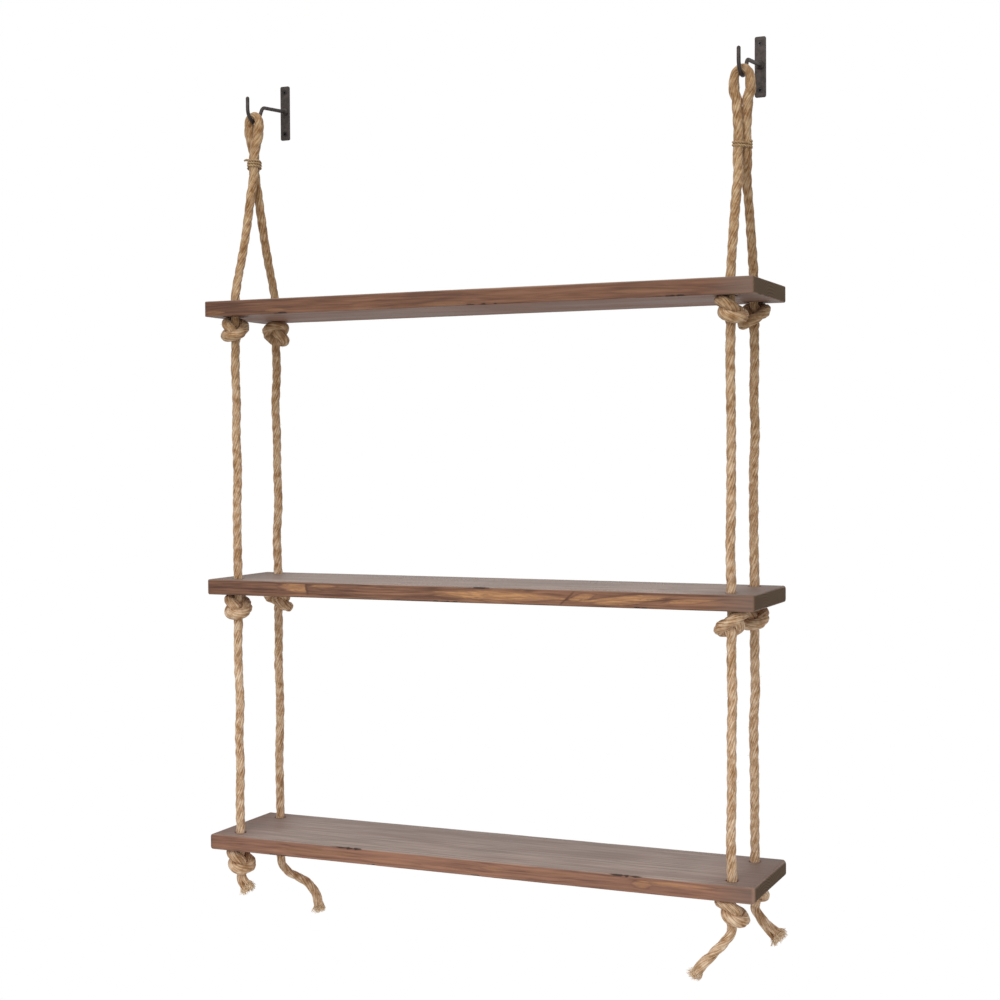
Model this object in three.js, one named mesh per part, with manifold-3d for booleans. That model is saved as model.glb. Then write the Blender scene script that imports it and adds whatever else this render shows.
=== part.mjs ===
// Hanging rope shelf: three pine planks carried by two knotted ropes on a pair of forged wall hooks.
// Millimetres, +Z up. The wall is the plane y = 0 and the room lies towards -Y.
// The origin is the centre of the left hook plate's back face.
import * as THREE from 'three';
import * as BufferGeometryUtils from 'three/addons/utils/BufferGeometryUtils.js';
import Module from 'manifold-3d';

const wasm = await Module();
wasm.setup();

// Planks
const plankLength = 700;
const plankDepth = 140;
const plankThickness = 19;
const plankCorner = 2.5;
const plankArris = 1.2;
const holeFromEnd = 32;
const holeFromEdge = 22;
const holeClearance = 1.5;

// Drops between levels: hook plate centre to the top plank's upper face, then face to face
const topDrop = 255;
const middleDrop = 345;
const bottomDrop = 319;

// Rope and twine
const ropeDiameter = 10;
const twineDiameter = 2.8;
const strandGap = 0.6;
const twineGap = 0.5;
const flexGap = 0.85;
const seatGap = 0.3;

// Hook plates
const plateHeight = 70;
const plateWidth = 13.4;
const plateThickness = 3.4;
const plateCorner = 2.2;
const plateBevel = 0.6;
const plateSwell = 0.35;
const screwHoleDiameter = 4;
const countersinkDiameter = 7.6;
const countersinkDepth = 1.8;
const screwHoleFromEnd = 8;

// Hook rods
const rodDiameter = 4.6;
const rodRise = 2;
const hookReach = 79;
const seatDrop = 24.4;
const seatRadius = 14.5;
const humpRadius = 9.5;
const humpDrop = 2;
const tipRise = 5.5;
const collarDiameter = 10.4;
const collarLength = 4;
const throatSlant = THREE.MathUtils.degToRad(30);

// Ropes on the hooks: how far below the rod each pair is bound, and where it starts to swing
const leftBindingDrop = 54;
const rightBindingDrop = 77;
const swingDrop = 114;
const leftTwineTurns = 3;
const rightTwineTurns = 2.5;

// Facets and steps
const ropeSides = 8;
const holeSides = 16;
const twineSides = 6;
const knotSteps = 35;
const eyeSteps = 48;
const rodSteps = 30;
const archSteps = 6;
const topLegSteps = 8;
const legSteps = 6;
const twineSteps = 22;
const bindingArcSteps = 9;
const plateWaves = 12;
const arcDivisions = 1000;
const halvings = 40;
const cornerSegments = 2;
const overrun = 1;

// Rows of a strand's route from the rod to the binding: share of the binding's drop, spread as a
// multiple of the bound pair's, share of the pair's turn
const leftEyeShares = [
  [0.13, 1.45, 0], [0.26, 1.38, 0.05], [0.42, 1.26, 0.2], [0.57, 1.13, 0.42], [0.71, 1.05, 0.6],
  [0.85, 1, 0.7], [1, 1, 0.72],
];
const rightEyeShares = [
  [0.11, 1.72, 0], [0.2, 1.82, 0], [0.31, 1.62, 0.03], [0.42, 1.3, 0.13], [0.54, 1.06, 0.3],
  [0.66, 1, 0.45], [0.8, 1, 0.56], [0.92, 1, 0.6], [1, 1, 0.6],
];
// From the binding to the hole's mouth: share of the way down, share of the spread, share of the turn
const leftSpreadShares = [
  [0.06, 0.01, 0.08], [0.13, 0.04, 0.4], [0.22, 0.1, 0.85], [0.33, 0.19, 1], [0.5, 0.37, 1],
  [0.68, 0.6, 1], [0.82, 0.81, 1], [0.91, 0.93, 1], [0.97, 0.99, 1], [1, 1, 1],
];
const rightSpreadShares = [
  [0.06, 0.03, 0.1], [0.13, 0.12, 0.6], [0.22, 0.26, 1], [0.36, 0.43, 1], [0.52, 0.6, 1],
  [0.68, 0.75, 1], [0.82, 0.88, 1], [0.91, 0.95, 1], [0.97, 0.99, 1], [1, 1, 1],
];

// Half of an overhand knot's route in rope diameters, from its middle to where the rope leaves it.
// The other half is the same route turned half round about the knot's X axis.
const knotShares = [
  [1.03, 0, 0], [0.98, -0.66, -0.33], [0.59, -1.21, -0.73], [-0.2, -1.35, -0.95],
  [-0.87, -0.96, -0.97], [-1.13, -0.22, -0.78], [-0.89, 0.42, -0.37], [-0.29, 0.59, 0.1],
  [0, 0.28, 0.63], [0, 0, 1.13],
];
const knotHalfHeightShare = 1.45;
const knotExitShare = 1.6;

// Loose rope ends under the bottom plank, in rope diameters from where they leave their knots
const tailShares = {
  left_front: [[0, 0, 0], [0, 0, -0.35], [0.3, -0.05, -1.0], [0.9, -0.1, -1.6]],
  left_rear: [
    [0, 0, 0], [0, 0, -0.35], [0.27, 0, -1.2], [1.0, 0.03, -2.0], [2.2, 0.05, -2.5],
    [3.5, 0.08, -3.0], [4.6, 0.08, -3.8], [5.3, 0.05, -4.9], [5.7, 0, -6.1],
  ],
  right_front: [
    [0, 0, 0], [0, 0, -0.35], [-0.25, 0, -1.1], [-0.9, -0.05, -2.0], [-1.9, -0.1, -3.1],
    [-3.0, -0.15, -4.3], [-4.0, -0.2, -5.6],
  ],
  right_rear: [
    [0, 0, 0], [0, 0, -0.35], [0.2, 0, -0.9], [0.8, 0.05, -1.7], [1.7, 0.1, -2.6],
    [2.6, 0.15, -3.4],
  ],
};

// Each knot's turn about its rope, in degrees: left front, left rear, right front, right rear
const knotTurns = { top: [20, 200, 75, 330], middle: [40, 160, 250, 15], bottom: [65, 290, 100, 215] };

const rope = new THREE.MeshStandardMaterial({ color: 0xa8855a, roughness: 0.95, metalness: 0 });
const twine = new THREE.MeshStandardMaterial({ color: 0x9c7347, roughness: 0.95, metalness: 0 });
const pine = new THREE.MeshStandardMaterial({ color: 0x6f4e40, roughness: 0.6, metalness: 0 });
const iron = new THREE.MeshStandardMaterial({ color: 0x47403c, roughness: 0.6, metalness: 0.8 });

const ropeRadius = ropeDiameter / 2;
const twineRadius = twineDiameter / 2;
const rodRadius = rodDiameter / 2;
const hookSpacing = plankLength - 2 * holeFromEnd;
const holeHalfSpan = plankDepth / 2 - holeFromEdge;
const boundHalfSpan = ropeRadius + strandGap / 2;
const swingHeight = -seatDrop - swingDrop;
const levels = {
  top: -topDrop,
  middle: -topDrop - middleDrop,
  bottom: -topDrop - middleDrop - bottomDrop,
};
const sides = { left: 0, right: hookSpacing };
const rows = { front: -hookReach - holeHalfSpan, rear: -hookReach + holeHalfSpan };

const shelf = new THREE.Group();

/** Adds one named mesh to the shelf. */
function addPart(name, geometry, material) {
  const mesh = new THREE.Mesh(geometry, material);
  mesh.name = name;
  shelf.add(mesh);
}

/** A closed geometry as a manifold solid. */
function toSolid(geometry) {
  const bare = geometry.clone();
  bare.deleteAttribute('normal');
  bare.deleteAttribute('uv');
  const merged = BufferGeometryUtils.mergeVertices(bare);
  const vertProperties = new Float32Array(merged.attributes.position.array);
  const triVerts = new Uint32Array(merged.index.array);
  return new wasm.Manifold(new wasm.Mesh({ numProp: 3, vertProperties, triVerts }));
}

/** A manifold solid as a geometry. */
function toGeometry(solid) {
  const mesh = solid.getMesh();
  const geometry = new THREE.BufferGeometry();
  geometry.setAttribute('position', new THREE.BufferAttribute(mesh.vertProperties, 3));
  geometry.setIndex(new THREE.BufferAttribute(mesh.triVerts, 1));
  geometry.computeVertexNormals();
  return geometry;
}

/** A circular section for a tube. */
function roundSection(radius, count) {
  const section = new THREE.Shape();
  for (let i = 0; i < count; i += 1) {
    const angle = (2 * Math.PI * i) / count;
    const corner = [radius * Math.cos(angle), radius * Math.sin(angle)];
    if (i === 0) section.moveTo(...corner);
    else section.lineTo(...corner);
  }
  section.closePath();
  return section;
}

/** A closed tube along a curve. */
function tube(curve, radius, steps, count = ropeSides) {
  const section = roundSection(radius, count);
  return new THREE.ExtrudeGeometry(section, { extrudePath: curve, steps, curveSegments: 1 });
}

/** A smooth curve through points. */
function smooth(points) {
  return new THREE.CatmullRomCurve3(points, false, 'centripetal');
}

/** Points given in rope diameters. */
function inRopeDiameters(shares) {
  return shares.map((share) => new THREE.Vector3(...share).multiplyScalar(ropeDiameter));
}

/** A stretch of a longer curve between two shares of its length. */
class Stretch extends THREE.Curve {
  constructor(route, from, to) {
    super();
    this.route = route;
    this.from = from;
    this.to = to;
  }

  getPoint(share, target = new THREE.Vector3()) {
    return this.route.getPointAt(THREE.MathUtils.lerp(this.from, this.to, share), target);
  }
}

/** The least gap between a tube and itself, measured between points a bend or more apart. */
function selfGap(curve, radius, steps) {
  const points = curve.getSpacedPoints(steps);
  const pitch = curve.getLength() / steps;
  const apart = Math.ceil((Math.PI * radius * 2) / pitch);
  let least = Infinity;
  for (let i = 0; i < points.length; i += 1) {
    for (let j = i + apart; j < points.length; j += 1) {
      least = Math.min(least, points[i].distanceTo(points[j]));
    }
  }
  return least - 2 * radius;
}

/** A rectangle with round corners, centred on its middle. */
function roundedRectangle(width, height, corner) {
  const x = width / 2;
  const y = height / 2;
  const outline = new THREE.Shape();
  outline.moveTo(corner - x, -y);
  outline.lineTo(x - corner, -y);
  outline.absarc(x - corner, corner - y, corner, -Math.PI / 2, 0);
  outline.lineTo(x, y - corner);
  outline.absarc(x - corner, y - corner, corner, 0, Math.PI / 2);
  outline.lineTo(corner - x, y);
  outline.absarc(corner - x, y - corner, corner, Math.PI / 2, Math.PI);
  outline.lineTo(-x, corner - y);
  outline.absarc(corner - x, corner - y, corner, Math.PI, 1.5 * Math.PI);
  return outline;
}

/** A plank with eased edges and four rope holes, its upper face at height 0. */
function plankGeometry() {
  const outline = roundedRectangle(plankLength, plankDepth, plankCorner);
  const holeRadius = ropeRadius + holeClearance;
  for (const x of [-hookSpacing / 2, hookSpacing / 2]) {
    for (const y of [-holeHalfSpan, holeHalfSpan]) {
      const hole = new THREE.Path();
      hole.absarc(x, y, holeRadius, 0, 2 * Math.PI, true);
      outline.holes.push(new THREE.Path(hole.getSpacedPoints(holeSides).slice(0, -1)));
    }
  }
  const geometry = new THREE.ExtrudeGeometry(outline, {
    depth: plankThickness - 2 * plankArris,
    bevelThickness: plankArris,
    bevelSize: plankArris,
    bevelOffset: -plankArris,
    bevelSegments: 1,
    curveSegments: cornerSegments,
  });
  return geometry.translate(0, 0, plankArris - plankThickness);
}

/** Half a forged plate's width at a share of its height, -1 to 1: it swells at its ends and middle. */
function plateHalfWidth(share) {
  return plateWidth / 2 + plateSwell * (Math.cos(2 * Math.PI * share) - 1) / 2;
}

/** The forged strip of a hook, its back on the wall, with two countersunk screw holes. */
function plateGeometry() {
  const reach = plateHeight / 2 - plateCorner;
  const outline = new THREE.Shape();
  for (let i = 0; i <= plateWaves; i += 1) {
    const share = (2 * i) / plateWaves - 1;
    if (i === 0) outline.moveTo(plateHalfWidth(share), share * reach);
    else outline.lineTo(plateHalfWidth(share), share * reach);
  }
  const corner = plateHalfWidth(1) - plateCorner;
  outline.absarc(corner, reach, plateCorner, 0, Math.PI / 2);
  outline.absarc(-corner, reach, plateCorner, Math.PI / 2, Math.PI);
  for (let i = 1; i <= plateWaves; i += 1) {
    const share = 1 - (2 * i) / plateWaves;
    outline.lineTo(-plateHalfWidth(share), share * reach);
  }
  outline.absarc(-corner, -reach, plateCorner, Math.PI, 1.5 * Math.PI);
  outline.absarc(corner, -reach, plateCorner, 1.5 * Math.PI, 2 * Math.PI);
  const blank = new THREE.ExtrudeGeometry(outline, {
    depth: plateThickness - 2 * plateBevel,
    bevelThickness: plateBevel,
    bevelSize: plateBevel,
    bevelOffset: -plateBevel,
    bevelSegments: 1,
    curveSegments: cornerSegments,
  });
  blank.translate(0, 0, plateBevel);
  let solid = toSolid(blank);
  const drill = new THREE.LatheGeometry([
    new THREE.Vector2(0, -overrun),
    new THREE.Vector2(screwHoleDiameter / 2, -overrun),
    new THREE.Vector2(screwHoleDiameter / 2, plateThickness - countersinkDepth),
    new THREE.Vector2(countersinkDiameter / 2, plateThickness),
    new THREE.Vector2(countersinkDiameter / 2, plateThickness + overrun),
    new THREE.Vector2(0, plateThickness + overrun),
  ], holeSides);
  drill.rotateX(Math.PI / 2);
  for (const end of [-1, 1]) {
    const cutter = drill.clone().translate(0, end * (plateHeight / 2 - screwHoleFromEnd), 0);
    solid = solid.subtract(toSolid(cutter));
  }
  return toGeometry(solid).rotateX(Math.PI / 2);
}

/** The bent line of a hook rod, as distance from the wall and height. */
function rodBend() {
  const seat = new THREE.Vector2(hookReach, seatRadius - seatDrop);
  const humpHeight = -humpDrop - humpRadius;
  const cosine = Math.cos(throatSlant);
  const sine = Math.sin(throatSlant);
  const throat = (humpHeight - seat.y + (seatRadius + humpRadius) * sine) / cosine;
  const hump = new THREE.Vector2(seat.x - (seatRadius + humpRadius) * cosine - throat * sine, humpHeight);
  const root = new THREE.Vector2(plateThickness + seatGap, rodRise);
  const toHump = hump.clone().sub(root);
  const heading = toHump.angle() + Math.asin(humpRadius / toHump.length());
  const armEnd = new THREE.Vector2(0, humpRadius).rotateAround(new THREE.Vector2(), heading).add(hump);
  const bend = new THREE.Path();
  bend.moveTo(root.x, root.y);
  bend.lineTo(armEnd.x, armEnd.y);
  bend.absarc(hump.x, hump.y, humpRadius, heading + Math.PI / 2, throatSlant + 2 * Math.PI, true);
  bend.absarc(seat.x, seat.y, seatRadius, Math.PI + throatSlant, 2 * Math.PI, false);
  bend.lineTo(seat.x + seatRadius, tipRise);
  return bend;
}

/** A hook rod with the forged collar at its root. */
function rodGeometry() {
  const bend = rodBend().getSpacedPoints(2 * rodSteps);
  const line = smooth(bend.map((at) => new THREE.Vector3(0, -at.x, at.y)));
  const collar = new THREE.LatheGeometry([
    new THREE.Vector2(0, 0),
    new THREE.Vector2(collarDiameter / 2, 0),
    new THREE.Vector2(collarDiameter / 2, collarLength / 4),
    new THREE.Vector2((collarDiameter + rodDiameter) / 4, collarLength / 2),
    new THREE.Vector2(rodRadius, collarLength),
    new THREE.Vector2(0, collarLength),
  ], holeSides);
  collar.rotateX(Math.PI).translate(0, -plateThickness - seatGap, rodRise);
  return toGeometry(toSolid(tube(line, rodRadius, rodSteps)).add(toSolid(collar)));
}

/** A rope's route over its hook, from the front hole's mouth in the top plank to the rear one's. */
function pairRoute(pair) {
  const route = [];
  const archRadius = rodRadius + seatGap + ropeRadius;
  const mouthDrop = topDrop - seatDrop - flexGap;
  const place = (strand, drop, half, turn) => new THREE.Vector3(
    strand * half * Math.cos(turn),
    strand * half * Math.sin(turn) - hookReach,
    -seatDrop - drop,
  );
  const boundTurn = pair.eyeShares.at(-1)[2];
  const strandPoints = (strand) => [
    ...pair.eyeShares.map(([down, spread, turn]) => (
      place(strand, down * pair.bindingDrop, spread * boundHalfSpan, turn * pair.turn)
    )),
    ...pair.spreadShares.map(([down, spread, turn]) => place(
      strand,
      THREE.MathUtils.lerp(pair.bindingDrop, mouthDrop, down),
      THREE.MathUtils.lerp(boundHalfSpan, holeHalfSpan, spread),
      THREE.MathUtils.lerp(boundTurn, 1, turn) * pair.turn,
    )),
  ];
  const frontStrand = -Math.sign(pair.turn);
  route.push(...strandPoints(frontStrand).reverse());
  for (let i = 0; i <= archSteps; i += 1) {
    const angle = (Math.PI * i) / archSteps;
    const across = frontStrand * archRadius * Math.cos(angle);
    route.push(new THREE.Vector3(across, -hookReach, archRadius * Math.sin(angle) - seatDrop));
  }
  route.push(...strandPoints(-frontStrand));
  const curve = smooth(route);
  curve.arcLengthDivisions = arcDivisions;
  return curve;
}

/** The share of a curve's length, between two shares, at which it crosses a height. */
function shareAtHeight(curve, height, from, to) {
  let [outside, inside] = [from, to];
  for (let i = 0; i < halvings; i += 1) {
    const middle = (outside + inside) / 2;
    if (curve.getPointAt(middle).z < height) outside = middle;
    else inside = middle;
  }
  return inside;
}

/** The twine wound round a bound pair: loops with straight runs between two half circles. */
function bindingRoute(pair) {
  const turn = pair.eyeShares.at(-1)[2] * pair.turn;
  const radius = ropeRadius + twineGap + twineRadius;
  const pitch = twineDiameter + twineGap;
  const perTurn = 2 * (bindingArcSteps + 1);
  const count = Math.round(pair.twineTurns * perTurn);
  const points = [];
  for (let i = 0; i <= count; i += 1) {
    const step = i % (bindingArcSteps + 1);
    const end = Math.floor(i / (bindingArcSteps + 1)) % 2 === 0 ? 1 : -1;
    const angle = Math.PI * (step / bindingArcSteps - 1 / 2);
    const across = end * (boundHalfSpan + radius * Math.cos(angle));
    const along = end * radius * Math.sin(angle);
    const climb = pitch * (pair.twineTurns / 2 - i / perTurn);
    points.push(new THREE.Vector3(
      across * Math.cos(turn) - along * Math.sin(turn),
      across * Math.sin(turn) + along * Math.cos(turn) - hookReach,
      climb - seatDrop - pair.bindingDrop,
    ));
  }
  return smooth(points);
}

/** The route of an overhand knot under a plank, with the stub that comes down through the plank's hole. */
function knotRoute(degrees) {
  const centre = -plankThickness - seatGap - knotHalfHeightShare * ropeDiameter;
  const half = inRopeDiameters(knotShares);
  const upper = half.map((point) => point.clone()).reverse();
  const lower = half.slice(1).map((point) => new THREE.Vector3(point.x, -point.y, -point.z));
  const turn = new THREE.Matrix4().makeRotationZ(THREE.MathUtils.degToRad(degrees));
  turn.setPosition(0, 0, centre);
  const body = [...upper, ...lower].map((point) => point.applyMatrix4(turn));
  return smooth([
    new THREE.Vector3(0, 0, 0),
    new THREE.Vector3(0, 0, -plankThickness / 2),
    new THREE.Vector3(0, 0, -plankThickness),
    ...body,
    new THREE.Vector3(0, 0, centre - knotExitShare * ropeDiameter),
  ]);
}

// The hooks and the ropes' bound eyes
const pairs = {
  left: {
    eyeShares: leftEyeShares,
    spreadShares: leftSpreadShares,
    bindingDrop: leftBindingDrop,
    turn: -Math.PI / 2,
    twineTurns: leftTwineTurns,
  },
  right: {
    eyeShares: rightEyeShares,
    spreadShares: rightSpreadShares,
    bindingDrop: rightBindingDrop,
    turn: Math.PI / 2,
    twineTurns: rightTwineTurns,
  },
};
for (const [side, x] of Object.entries(sides)) {
  addPart(`${side}_hook_plate`, plateGeometry().translate(x, 0, 0), iron);
  addPart(`${side}_hook_rod`, rodGeometry().translate(x, 0, 0), iron);
  const pair = pairs[side];
  const route = pairRoute(pair);
  const front = shareAtHeight(route, swingHeight, 0, 1 / 2);
  const rear = shareAtHeight(route, swingHeight, 1, 1 / 2);
  const gapShare = flexGap / route.getLength();
  const eye = new Stretch(route, front, rear);
  const eyeGap = selfGap(eye, ropeRadius, eyeSteps);
  console.log(`${side} eye: least gap to itself ${eyeGap.toFixed(2)} mm`);
  addPart(`${side}_rope_eye`, tube(eye, ropeRadius, eyeSteps).translate(x, 0, 0), rope);
  const winding = bindingRoute(pair);
  const windingSteps = Math.round(pair.twineTurns * twineSteps);
  const windingGap = selfGap(winding, twineRadius, windingSteps);
  console.log(`${side} binding: least gap to itself ${windingGap.toFixed(2)} mm`);
  const binding = tube(winding, twineRadius, windingSteps, twineSides);
  addPart(`${side}_twine_binding`, binding.translate(x, 0, 0), twine);
  const legs = {
    front: new Stretch(route, 0, front - gapShare),
    rear: new Stretch(route, rear + gapShare, 1),
  };
  for (const [row, leg] of Object.entries(legs)) {
    addPart(`${side}_${row}_top_rope`, tube(leg, ropeRadius, topLegSteps).translate(x, 0, 0), rope);
  }
}

// The planks, the knots under them, the ropes between them and the loose ends
const corners = Object.entries(sides).flatMap(([side, x]) => (
  Object.entries(rows).map(([row, y]) => ({ name: `${side}_${row}`, x, y }))
));
const exitDrop = plankThickness + seatGap + (knotHalfHeightShare + knotExitShare) * ropeDiameter;
let above = null;
for (const [level, height] of Object.entries(levels)) {
  addPart(`${level}_plank`, plankGeometry().translate(hookSpacing / 2, -hookReach, height), pine);
  corners.forEach(({ name, x, y }, corner) => {
    const knot = knotRoute(knotTurns[level][corner]);
    if (corner === 0) {
      const knotGap = selfGap(knot, ropeRadius, knotSteps);
      console.log(`${level} knots: least gap to themselves ${knotGap.toFixed(2)} mm`);
    }
    addPart(`${name}_${level}_knot`, tube(knot, ropeRadius, knotSteps).translate(x, y, height), rope);
    if (above !== null) {
      const upper = new THREE.Vector3(x, y, above - exitDrop - flexGap);
      const lower = new THREE.Vector3(x, y, height + flexGap);
      const leg = tube(new THREE.LineCurve3(upper, lower), ropeRadius, legSteps);
      addPart(`${name}_${level}_rope`, leg, rope);
    }
  });
  above = height;
}
for (const { name, x, y } of corners) {
  const route = smooth(inRopeDiameters(tailShares[name]));
  const start = levels.bottom - exitDrop - seatGap;
  const steps = Math.ceil(route.getLength() / ropeDiameter);
  addPart(`${name}_rope_end`, tube(route, ropeRadius, steps).translate(x, y, start), rope);
}

export default shelf;
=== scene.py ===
"""Looks of a hanging rope shelf: three stained pine planks on knotted jute ropes and forged hooks.

Everything is in metres in the part's own frame: +Z up, the wall is the plane y = 0 and the room
lies towards -Y. The origin is the centre of the left hook plate's back face.
"""

import logging
import math
from dataclasses import dataclass, field, fields
from enum import Enum
from functools import cache
from types import SimpleNamespace
from typing import Any

import bmesh
import bpy
import numpy as np
from mathutils import Euler, Matrix, Vector, noise


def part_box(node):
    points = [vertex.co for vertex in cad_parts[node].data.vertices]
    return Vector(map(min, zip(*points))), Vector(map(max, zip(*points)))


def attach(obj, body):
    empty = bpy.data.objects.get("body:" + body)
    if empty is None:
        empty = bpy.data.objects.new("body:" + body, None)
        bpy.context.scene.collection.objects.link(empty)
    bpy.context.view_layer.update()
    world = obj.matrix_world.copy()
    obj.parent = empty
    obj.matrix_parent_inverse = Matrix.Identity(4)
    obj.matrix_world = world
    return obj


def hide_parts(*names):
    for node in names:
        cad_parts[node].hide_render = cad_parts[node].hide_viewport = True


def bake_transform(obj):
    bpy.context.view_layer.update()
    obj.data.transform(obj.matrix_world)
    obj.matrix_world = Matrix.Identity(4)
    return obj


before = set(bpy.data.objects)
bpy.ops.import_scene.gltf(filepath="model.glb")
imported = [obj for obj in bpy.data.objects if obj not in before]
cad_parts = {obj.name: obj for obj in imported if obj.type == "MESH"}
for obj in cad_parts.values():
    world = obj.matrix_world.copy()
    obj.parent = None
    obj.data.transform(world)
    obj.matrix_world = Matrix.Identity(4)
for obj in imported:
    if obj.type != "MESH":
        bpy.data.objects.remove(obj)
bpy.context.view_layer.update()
LOG = logging.getLogger("rope_shelf")
MM = 0.001
FULL_TURN = 2 * math.pi

Mesh, Object, Material = bpy.types.Mesh, bpy.types.Object, bpy.types.Material
Shares = tuple[tuple[float, ...], ...]


class Side(Enum):
    """The two ropes, each on a hook of its own."""

    LEFT = "left"
    RIGHT = "right"


class Row(Enum):
    """The two legs of a rope, by which edge of the planks they go through."""

    FRONT = "front"
    REAR = "rear"


class Level(Enum):
    """The three planks, from the highest down."""

    TOP = "top"
    MIDDLE = "middle"
    BOTTOM = "bottom"


class Arris(Enum):
    """The four long edges of a bar, in the order its outline goes round: back and upper signs."""

    BACK_UNDER = (1, -1)
    BACK_UPPER = (1, 1)
    FRONT_UPPER = (-1, 1)
    FRONT_UNDER = (-1, -1)


class Kind(Enum):
    """The kinds of node in use, each with the settings that it always has."""

    NUMBER = "ShaderNodeMath", {}
    VECTOR = "ShaderNodeVectorMath", {}
    PARTS = "ShaderNodeSeparateXYZ", {}
    JOINED = "ShaderNodeCombineXYZ", {}
    GRADE = "ShaderNodeMapRange", {"interpolation_type": "SMOOTHSTEP"}
    TURN = "ShaderNodeVectorRotate", {"rotation_type": "Z_AXIS"}
    MIX = "ShaderNodeMix", {"data_type": "RGBA"}
    DIM = "ShaderNodeMix", {"data_type": "RGBA", "blend_type": "MULTIPLY"}
    RAMP = "ShaderNodeValToRGB", {}
    NOISE = "ShaderNodeTexNoise", {}
    DENTS = "ShaderNodeTexVoronoi", {"feature": "SMOOTH_F1"}
    BUMP = "ShaderNodeBump", {}
    PLACE = "ShaderNodeTexCoord", {}
    CARRIED = "ShaderNodeAttribute", {}
    RAYS = "ShaderNodeLightPath", {}
    LIGHT = "ShaderNodeBackground", {}
    WORLD = "ShaderNodeOutputWorld", {}
    GIVEN = "NodeGroupInput", {}
    RESULT = "NodeGroupOutput", {}
    POSITION = "GeometryNodeInputPosition", {}
    NORMAL = "GeometryNodeInputNormal", {}
    STORED_NUMBER = "GeometryNodeInputNamedAttribute", {"data_type": "FLOAT"}
    STORED_VECTOR = "GeometryNodeInputNamedAttribute", {"data_type": "FLOAT_VECTOR"}
    STORE_NUMBER = "GeometryNodeStoreNamedAttribute", {"data_type": "FLOAT", "domain": "POINT"}
    STORE_VECTOR = "GeometryNodeStoreNamedAttribute", {
        "data_type": "FLOAT_VECTOR", "domain": "POINT"}
    LINE = "GeometryNodeMeshToCurve", {}
    POINTS = "GeometryNodeMeshToPoints", {"mode": "VERTICES"}
    COPY_POINTS = "GeometryNodeDuplicateElements", {"domain": "POINT"}
    COPY_LINES = "GeometryNodeDuplicateElements", {"domain": "SPLINE"}
    MOVE = "GeometryNodeSetPosition", {}
    BEND = "GeometryNodeCurvePrimitiveBezierSegment", {"mode": "POSITION"}
    CIRCLE = "GeometryNodeCurvePrimitiveCircle", {"mode": "RADIUS"}
    SKIN = "GeometryNodeCurveToMesh", {}
    SMOOTH = "GeometryNodeSetShadeSmooth", {}
    DRESS = "GeometryNodeSetMaterial", {}
    SCATTER = "GeometryNodeDistributePointsOnFaces", {"distribute_method": "RANDOM"}
    RANDOM_NUMBER = "FunctionNodeRandomValue", {"data_type": "FLOAT"}
    RANDOM_VECTOR = "FunctionNodeRandomValue", {"data_type": "FLOAT_VECTOR"}
    LEAN = "FunctionNodeEulerToRotation", {}
    AIM = "FunctionNodeAlignRotationToVector", {"axis": "Z"}
    ROTATE = "FunctionNodeRotateRotation", {"rotation_space": "LOCAL"}
    STAND = "GeometryNodeInstanceOnPoints", {}
    REAL = "GeometryNodeRealizeInstances", {}
    JOIN = "GeometryNodeJoinGeometry", {}


# Sizes of the rope and its way, as in the construction
ROPE_DIAMETER = 10 * MM
TWINE_DIAMETER = 2.8 * MM
ROD_DIAMETER = 4.6 * MM
STRAND_GAP = 0.6 * MM
TWINE_GAP = 0.5 * MM
FLEX_GAP = 0.85 * MM
SEAT_GAP = 0.3 * MM
SEAT_DROP = 24.4 * MM
SWING_DROP = 114 * MM
BOUND_HALF_SPAN = (ROPE_DIAMETER + STRAND_GAP) / 2

# Rows of a strand's route from the rod to the binding: share of the binding's drop, spread as a
# multiple of the bound pair's, share of the pair's turn, girth
LEFT_EYE_SHARES: Shares = (
    (0.06, 1.35, 0, 1.15), (0.13, 1.31, 0, 1.19), (0.26, 1.26, 0.05, 1.2), (0.42, 1.17, 0.2, 1.19),
    (0.57, 1.1, 0.42, 1.18), (0.71, 1.04, 0.6, 1.17), (0.85, 1, 0.7, 1.15), (1, 1, 0.72, 1.12),
)
RIGHT_EYE_SHARES: Shares = (
    (0.04, 1.68, 0, 1.06), (0.11, 1.82, 0, 1.12), (0.2, 1.78, 0, 1.14), (0.275, 1.52, 0.01, 1.14),
    (0.34, 1.2, 0.05, 1.13), (0.43, 1.08, 0.13, 1.1), (0.54, 1.02, 0.3, 1.08),
    (0.66, 1, 0.45, 1.06), (0.8, 1, 0.56, 1.05), (0.92, 1, 0.6, 1.05), (1, 1, 0.6, 1.05),
)
# From the binding to the plank: share of the way down, share of the spread, share of the turn
LEFT_SPREAD_SHARES: Shares = (
    (0.06, 0.01, 0.08), (0.13, 0.04, 0.4), (0.22, 0.1, 0.85), (0.33, 0.19, 1), (0.5, 0.37, 1),
    (0.68, 0.6, 1), (0.82, 0.81, 1), (0.91, 0.93, 1), (0.97, 0.99, 1), (1, 1, 1),
)
RIGHT_SPREAD_SHARES: Shares = (
    (0.06, 0.03, 0.1), (0.13, 0.12, 0.6), (0.22, 0.26, 1), (0.36, 0.43, 1), (0.52, 0.6, 1),
    (0.68, 0.75, 1), (0.82, 0.88, 1), (0.91, 0.95, 1), (0.97, 0.99, 1), (1, 1, 1),
)
# Half an overhand knot in rope diameters; the other half is turned half round about its X axis
KNOT_SHARES: Shares = (
    (1.03, 0, 0), (0.98, -0.66, -0.33), (0.59, -1.21, -0.73), (-0.2, -1.35, -0.95),
    (-0.87, -0.96, -0.97), (-1.13, -0.22, -0.78), (-0.89, 0.42, -0.37), (-0.29, 0.59, 0.1),
    (0, 0.28, 0.63), (0, 0, 1.13),
)
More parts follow.
